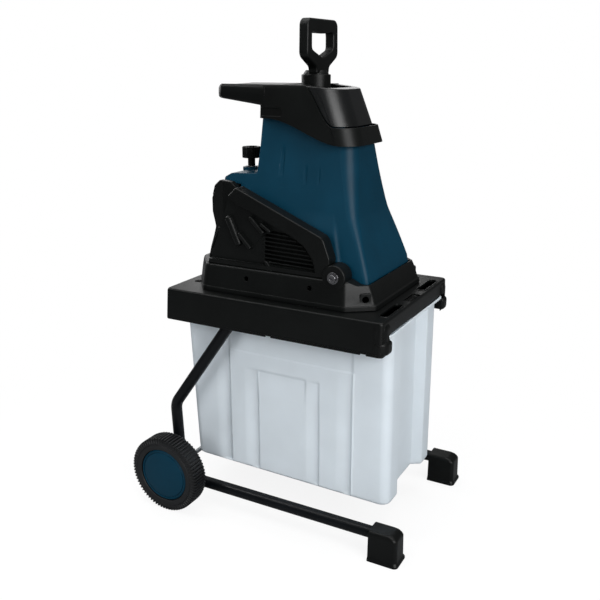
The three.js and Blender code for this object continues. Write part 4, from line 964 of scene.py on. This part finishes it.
def hopper_shell():
    outer = common(tower(), plate("y", hopper_side(), -130, 130))
    inner = common(tower(WALL, True), plate("y", hopper_room(), -130, 130))
    top_opening = block((-66, -54, 840), (116, 54, 870))
    lip_limit = block((HINGE.x, -130, 500), (260, 130, HINGE.z))
    lip_limit = cut(lip_limit, rod("y", PIVOT, HINGE.lip, -131, 131, 96))
    bolt_holes = rod("y", PIVOT, HINGE.bolt + GAP, -130, 130, 24)
    boss = rod("z", LOCK_SCREW, SCREW_BOSS.radius, SHELF.top - 6, SCREW_BOSS.top, 48, 0, 1)
    hole = rod("z", LOCK_SCREW, 6.3, SHELF.top - 20, SCREW_BOSS.top + 1, 24)
    shell = cut(join(cut(outer, inner), boss), top_opening, lip_limit, bolt_holes, hole)
    return soften(shell, 1.2, 3, 50)


def feed_chute():
    wall = 2
    low, high = CHUTE.x - CHUTE.half - wall, CHUTE.x + CHUTE.half + wall
    shaft = CHUTE.half + wall

    def section(z, grow, flare=0.0):
        return at(z, plan(low + grow - 14 * flare, high - grow + 12 * flare, shaft - grow + 8 * flare, 8, 8))

    outer = [section(CHUTE.bottom, 0), section(CHUTE.throat, 0), section(CHUTE.mouth, 0, 1)]
    inner = [section(CHUTE.mouth, wall, 1), section(CHUTE.throat, wall), section(CHUTE.bottom, wall)]
    return soften(skin(outer + inner, looped=True), 0.6, 2)


COLLAR_FORM = [(805, 150, 86), (846, 138, 82), (885, 120, 79), (923, 104, 76)]  # height, front, half width
CAP_FORM = [(838, 132.5, 81.5), (923, 100.5, 75.5)]
COLLAR_CORNER = 45
CAP_CORNER = 55


def head_outline(form, z, corner, grow=0.0):
    """Plan of the collar or cap at a height: square rear and large round front corners."""
    front = between(z, [(level, reach) for level, reach, _ in form]) - grow
    half = between(z, [(level, wide) for level, _, wide in form]) - grow
    return plan(COLLAR.rear + grow, front, half, 12 - grow, corner - grow, 14)


def head(form, corner, grow=0.0):
    """The closed form of collar or cap; its upper rim is rounded unless it is a hollow."""
    floor = form[0][0] - (1 if grow else 0)
    heights = [floor] + [form[0][0] + 5 * k for k in range(1, 40) if form[0][0] + 5 * k < CAP.top - 3]
    rings = [at(z, head_outline(form, z, corner, grow)) for z in heights]
    if grow:
        return skin(rings + [at(CAP.top, head_outline(form, CAP.top, corner, grow))])
    for drop, back in ((2.4, 0.2), (1.2, 0.8), (0.4, 1.8), (0, 3.4)):
        z = CAP.top - drop
        rings.append(at(z, inset(head_outline(form, z, corner), back)))
    return skin(rings)


def under_curve(height):
    """Everything below a curve z = height(x), down to under the head."""
    floor = 700
    xs = [-200, -120, -80] + [-60 + 4 * k for k in range(50)] + [150, 200]
    curve = [(x, height(x)) for x in xs]
    return plate("y", curve + [(200, floor), (-200, floor)], -120, 120)


def collar_edge(x):
    return COLLAR.low + (COLLAR.high - COLLAR.low) * (1 - smooth(x, -50, 120))


def seam(x):
    return CAP.seam + (CAP.top + 4 - CAP.seam) * (1 - smooth(x, 25, 100))


def cap_top(x):
    return CAP.top - CAP.slope * max(x - CAP.slope_from, 0)


def handle():
    """Carrying handle behind the head; its underside rises towards the tip and is hollow."""
    def level(share, grow):
        corners = rounded(symmetric([(COLLAR.grip - grow, -46, 22), (-170, -66 - grow, 22),
                                     (COLLAR.rear + 14, -76 - grow)]), 8)
        ring_points = []
        for x, y in corners:
            low = 895 - 14 * smooth(x, -186, -75)
            high = CAP.top - 5 * smooth(-x, 168, 192)
            ring_points.append((x, y, low + (high - low) * share))
        return ring_points

    outer = skin([level(0, -1.5), level(0.05, 0.2), level(0.15, 1.6), level(0.5, 2), level(0.78, 1.4),
                  level(0.9, 0), level(0.97, -2), level(1, -4.6)])
    pocket = rounded(symmetric([(-178, -42, 12), (-166, -58, 12), (COLLAR.rear - 6, -68, 4)]), 6)
    return cut(outer, plate("z", pocket, 860, CAP.top - 9, 0, 3))


def mouth_cut():
    return plate("z", plan(-36, 80, 52, 14, 14, 8), CAP.top - 16, CAP.top + 2)


def hopper_collar():
    hollow = common(head(COLLAR_FORM, COLLAR_CORNER, CAP.wall), under_curve(lambda x: CAP.top - CAP.wall))
    body = join(head(COLLAR_FORM, COLLAR_CORNER), handle())
    body = cut(body, hollow, mouth_cut(), under_curve(collar_edge))
    body = common(body, under_curve(lambda x: seam(x) - 0.5))
    strip = rounded([(-76, 862, 2), (-12, 862, 6), (-18, 878, 6), (-76, 878, 2)], 6)
    strips = [plate("y", strip, *sided(side, 78.2, 90)) for side in SIDES]
    return soften(cut(body, *strips), 1.0, 2, 42)


def hopper_cap():
    hollow = common(head(CAP_FORM, CAP_CORNER, CAP.wall), under_curve(lambda x: cap_top(x) - CAP.wall))
    body = common(head(CAP_FORM, CAP_CORNER), under_curve(cap_top))
    body = cut(body, hollow, mouth_cut(), under_curve(lambda x: seam(x) + 0.3))
    return soften(body, 2.0, 4, 42)


def hinge_bolt():
    face = -HINGE.face - GAP
    washer = rod("y", PIVOT, 12, face - 2, face, 56, 0.6, 0)
    bolt_head = rod("y", PIVOT, 8.5, face - 8, face - 1, 56, 1.2, 0)
    shank = rod("y", PIVOT, HINGE.bolt, face - 1, -104, 28)
    socket = rod("y", PIVOT, 3.6, face - 9, face - 4, 6)
    return soften(cut(join(washer, bolt_head, shank), socket), 0.4, 2)


def lock_knob():
    ribs = 30
    outline = []
    for i in range(4 * ribs):
        angle = pi * i / (2 * ribs)
        radius = KNOB.radius - (0, 0, 1.1, 1.1)[i % 4]
        outline.append((KNOB.x + radius * cos(angle), radius * sin(angle)))
    grip = plate("z", outline, KNOB.bottom, KNOB.top, 1.2, 2)
    dish = rod("z", LOCK_SCREW, 13, KNOB.top - 1.2, KNOB.top + 2)
    neck = rod("z", LOCK_SCREW, 8, SCREW_BOSS.washer + GAP, KNOB.bottom + 1, 40)
    screw = rod("z", LOCK_SCREW, 5, REAR.top - 12, SCREW_BOSS.washer + 2, 32)
    return join(cut(grip, dish), neck, screw)


def plunger():
    """Pusher; the underside of its grip bulges down in the middle."""
    top = PLUNGER.top
    outline = rounded([
        (-27, 943), (27, 943), (27, 955, 12), (67, 976, 16), (65, top, 15), (-65, top, 15),
        (-67, 976, 16), (-27, 955, 12)], 8)
    window = rounded([
        (0, 974, 20), (46.5, 990, 8), (46.5, 1023.5, 6), (20, 1020, 40), (-20, 1020, 40),
        (-46.5, 1023.5, 6), (-46.5, 990, 8)], 8)
    middle = PLUNGER.grip_x
    grip = plate("x", outline, middle - 10.5, middle + 10.5)
    grip = soften(cut(grip, plate("x", window, middle - 13, middle + 13)), 4.2, 4, 50)
    axis = (PLUNGER.x, 0)
    radius = PLUNGER.collar
    collar = rod("z", axis, radius, 912, 942, 72, 0.8, 2)
    cone = skin([at(z, circle(*axis, reach, 72)) for z, reach in ((939, 26), (944, 25.4), (950, 21))])
    mark = rectangle(-3, 3, 919, 930, 1, 3)
    marks = [moved(plate("x", mark, radius - 2, radius + 0.7), offset=(*axis, 0), turn=radians(turn))
             for turn in (-98, -22)]
    shaft = rod("z", axis, 20, PLUNGER.foot + 5, 913)
    half = CHUTE.half - 4
    sole = plate("z", plan(CHUTE.x - half, CHUTE.x + half, half, 6, 6),
                 PLUNGER.foot, PLUNGER.foot + 12, 1.5, 1.5)
    return join(collar, cone, grip, shaft, sole, *marks)


# ---- the pieces on their bodies
# each function is named after the CAD node that its form replaces
for make, bodies, finish in (
        (frame_tube, ["frame"], "black_steel"), (foot, ["frame"], "black_plastic"),
        (wheel, ["right_wheel", "left_wheel"], "tyre_plastic"),
        (hub_cap, ["right_wheel", "left_wheel"], "blue_plastic"),
        (push_nut, ["frame"], "bare_steel"), (axle_washer, ["frame"], "bare_steel"),
        (side_cover, ["frame"], "black_plastic"), (hinge_bolt, ["frame"], "dark_steel")):
    pair(make(), bodies, finish, make.__name__)
for place_name, screw_x in zip(("rear", "front"), SCREW_X):
    pair(frame_screw(screw_x), ["frame"], "bare_steel", place_name + "_frame_screw")
for make, body, finish in (
        (axle, "frame", "bare_steel"), (tray, "frame", "black_plastic"),
        (collection_box, "collection_box", "box_plastic"), (base_housing, "frame", "black_plastic"),
        (rear_housing, "frame", "black_plastic"), (power_inlet, "frame", "black_plastic"),
        (blade_disc, "blade_rotor", "bare_steel"), (hopper_shell, "hopper", "blue_plastic"),
        (feed_chute, "hopper", "black_plastic"), (hopper_collar, "hopper", "black_plastic"),
        (hopper_cap, "hopper", "gloss_black_plastic"), (box_lock_slider, "box_lock", "black_plastic"),
        (lock_knob, "lock_knob", "black_plastic"), (plunger, "pusher", "black_plastic")):
    piece(make(), body, finish, make.__name__)
for switch, (switch_y, switch_radius, switch_height, switch_slot) in SWITCHES.items():
    button = push_button(switch_y, switch_radius, switch_height)
    piece(button, switch + "_button", switch_slot, switch + "_button")

slots = {entry["node"]: entry["material_slot"] for entry in frame["record"]["subparts"]}
for node, carried in frame["nodes"].items():
    if carried.hide_render:
        continue
    if not carried.material_slots:
        carried.data.materials.append(finishes[slots[node]])
    for material_slot in carried.material_slots:
        material_slot.material = finishes[slots[node]]
    weld = carried.modifiers.new("weld", "WELD")
    weld.merge_threshold = 1e-6
    flat = carried.modifiers.new("flat", "DECIMATE")
    flat.decimate_type = "DISSOLVE"
    flat.angle_limit = radians(1)
    edge = carried.modifiers.new("edge", "BEVEL")
    edge.width = 0.3 * MM
    edge.segments = 2
    edge.limit_method = "ANGLE"
    edge.angle_limit = radians(40)


# ---- studio
def studio_floor():
    """Pale floor that turns into the plain background; the object reflects it as a duller one."""
    floor = rod("z", (0, 0), 30000, -60, -0.2, 96)
    floor.name = "studio_floor"
    surface, nodes = new_material("studio_floor")
    pale = set_inputs(nodes["Principled BSDF"], Base_Color=(0.93, 0.935, 0.94, 1), Roughness=0.9,
                      Specular_IOR_Level=0.1)
    distance = add_node(nodes, "VectorMath", "LENGTH", Vector=add_node(nodes, "TexCoord").outputs["Object"])
    fade = add_node(nodes, "MapRange", Value=distance.outputs["Value"], From_Min=0.2, From_Max=1.1,
                    To_Min=0.86)
    fade.interpolation_type = "SMOOTHSTEP"
    glow = add_node(nodes, "Emission", Color=(1, 1, 1, 1))
    seen = blend(nodes, fade.outputs["Result"], pale, glow)
    dull = add_node(nodes, "BsdfDiffuse", Color=(0.26, 0.265, 0.27, 1))
    choose = blend(nodes, add_node(nodes, "LightPath").outputs["Is Camera Ray"], dull, seen)
    set_inputs(nodes["Material Output"], Surface=choose.outputs["Shader"])
    floor.data.materials.append(surface)


def softbox(name, place, size, power, mirrored_by_gloss=True):
    """A rectangular area light that faces the middle of the machine."""
    light = bpy.data.lights.new(name, "AREA")
    light.shape = "RECTANGLE"
    light.size, light.size_y = size
    light.energy = power
    lamp = new_object(name, light)
    lamp.visible_glossy = mirrored_by_gloss
    lamp.location = place
    lamp.rotation_euler = (Vector((0, 0, 0.5)) - Vector(place)).to_track_quat("-Z", "Y").to_euler()


def background(seen, lighting):
    """White seen by the camera, dimmer for everything that the object reflects."""
    world = bpy.data.worlds.new("studio")
    bpy.context.scene.world = world
    world.use_nodes = True
    nodes = world.node_tree.nodes
    direct = add_node(nodes, "LightPath").outputs["Is Camera Ray"]
    strength = add_node(nodes, "MapRange", Value=direct, To_Min=lighting, To_Max=seen)
    set_inputs(nodes["Background"], Color=(1, 1, 1, 1), Strength=strength.outputs["Result"])


def camera(place, lens, down, turn):
    """Angles in degrees: down from level, and round the upright axis."""
    view = bpy.data.cameras.new("camera")
    view.lens = lens
    view.sensor_width = 36
    view.clip_end = 100
    holder = new_object("camera", view)
    holder.location = place
    holder.rotation_euler = (radians(90 - down), 0, radians(turn))
    bpy.context.scene.camera = holder


studio_floor()
softbox("key", (2.4, -1.5, 1.5), (1.8, 1.8), 80)
softbox("near", (-0.6, -3.0, 1.6), (1.6, 1.6), 34, mirrored_by_gloss=False)
softbox("left", (-1.6, -1.2, 2.4), (0.6, 0.6), 12)
softbox("far", (-1.6, 2.8, 1.5), (1.6, 1.6), 14)
softbox("overhead", (0.0, 0.0, 3.0), (2.6, 2.6), 62)
softbox("rim", (-2.6, 0.9, 1.6), (0.8, 1.8), 20)
background(1.0, 0.11)
camera((0.76335, -1.430, 0.961), 45.80, 17.156, 28.63)
bpy.context.scene.view_settings.view_transform = "Standard"
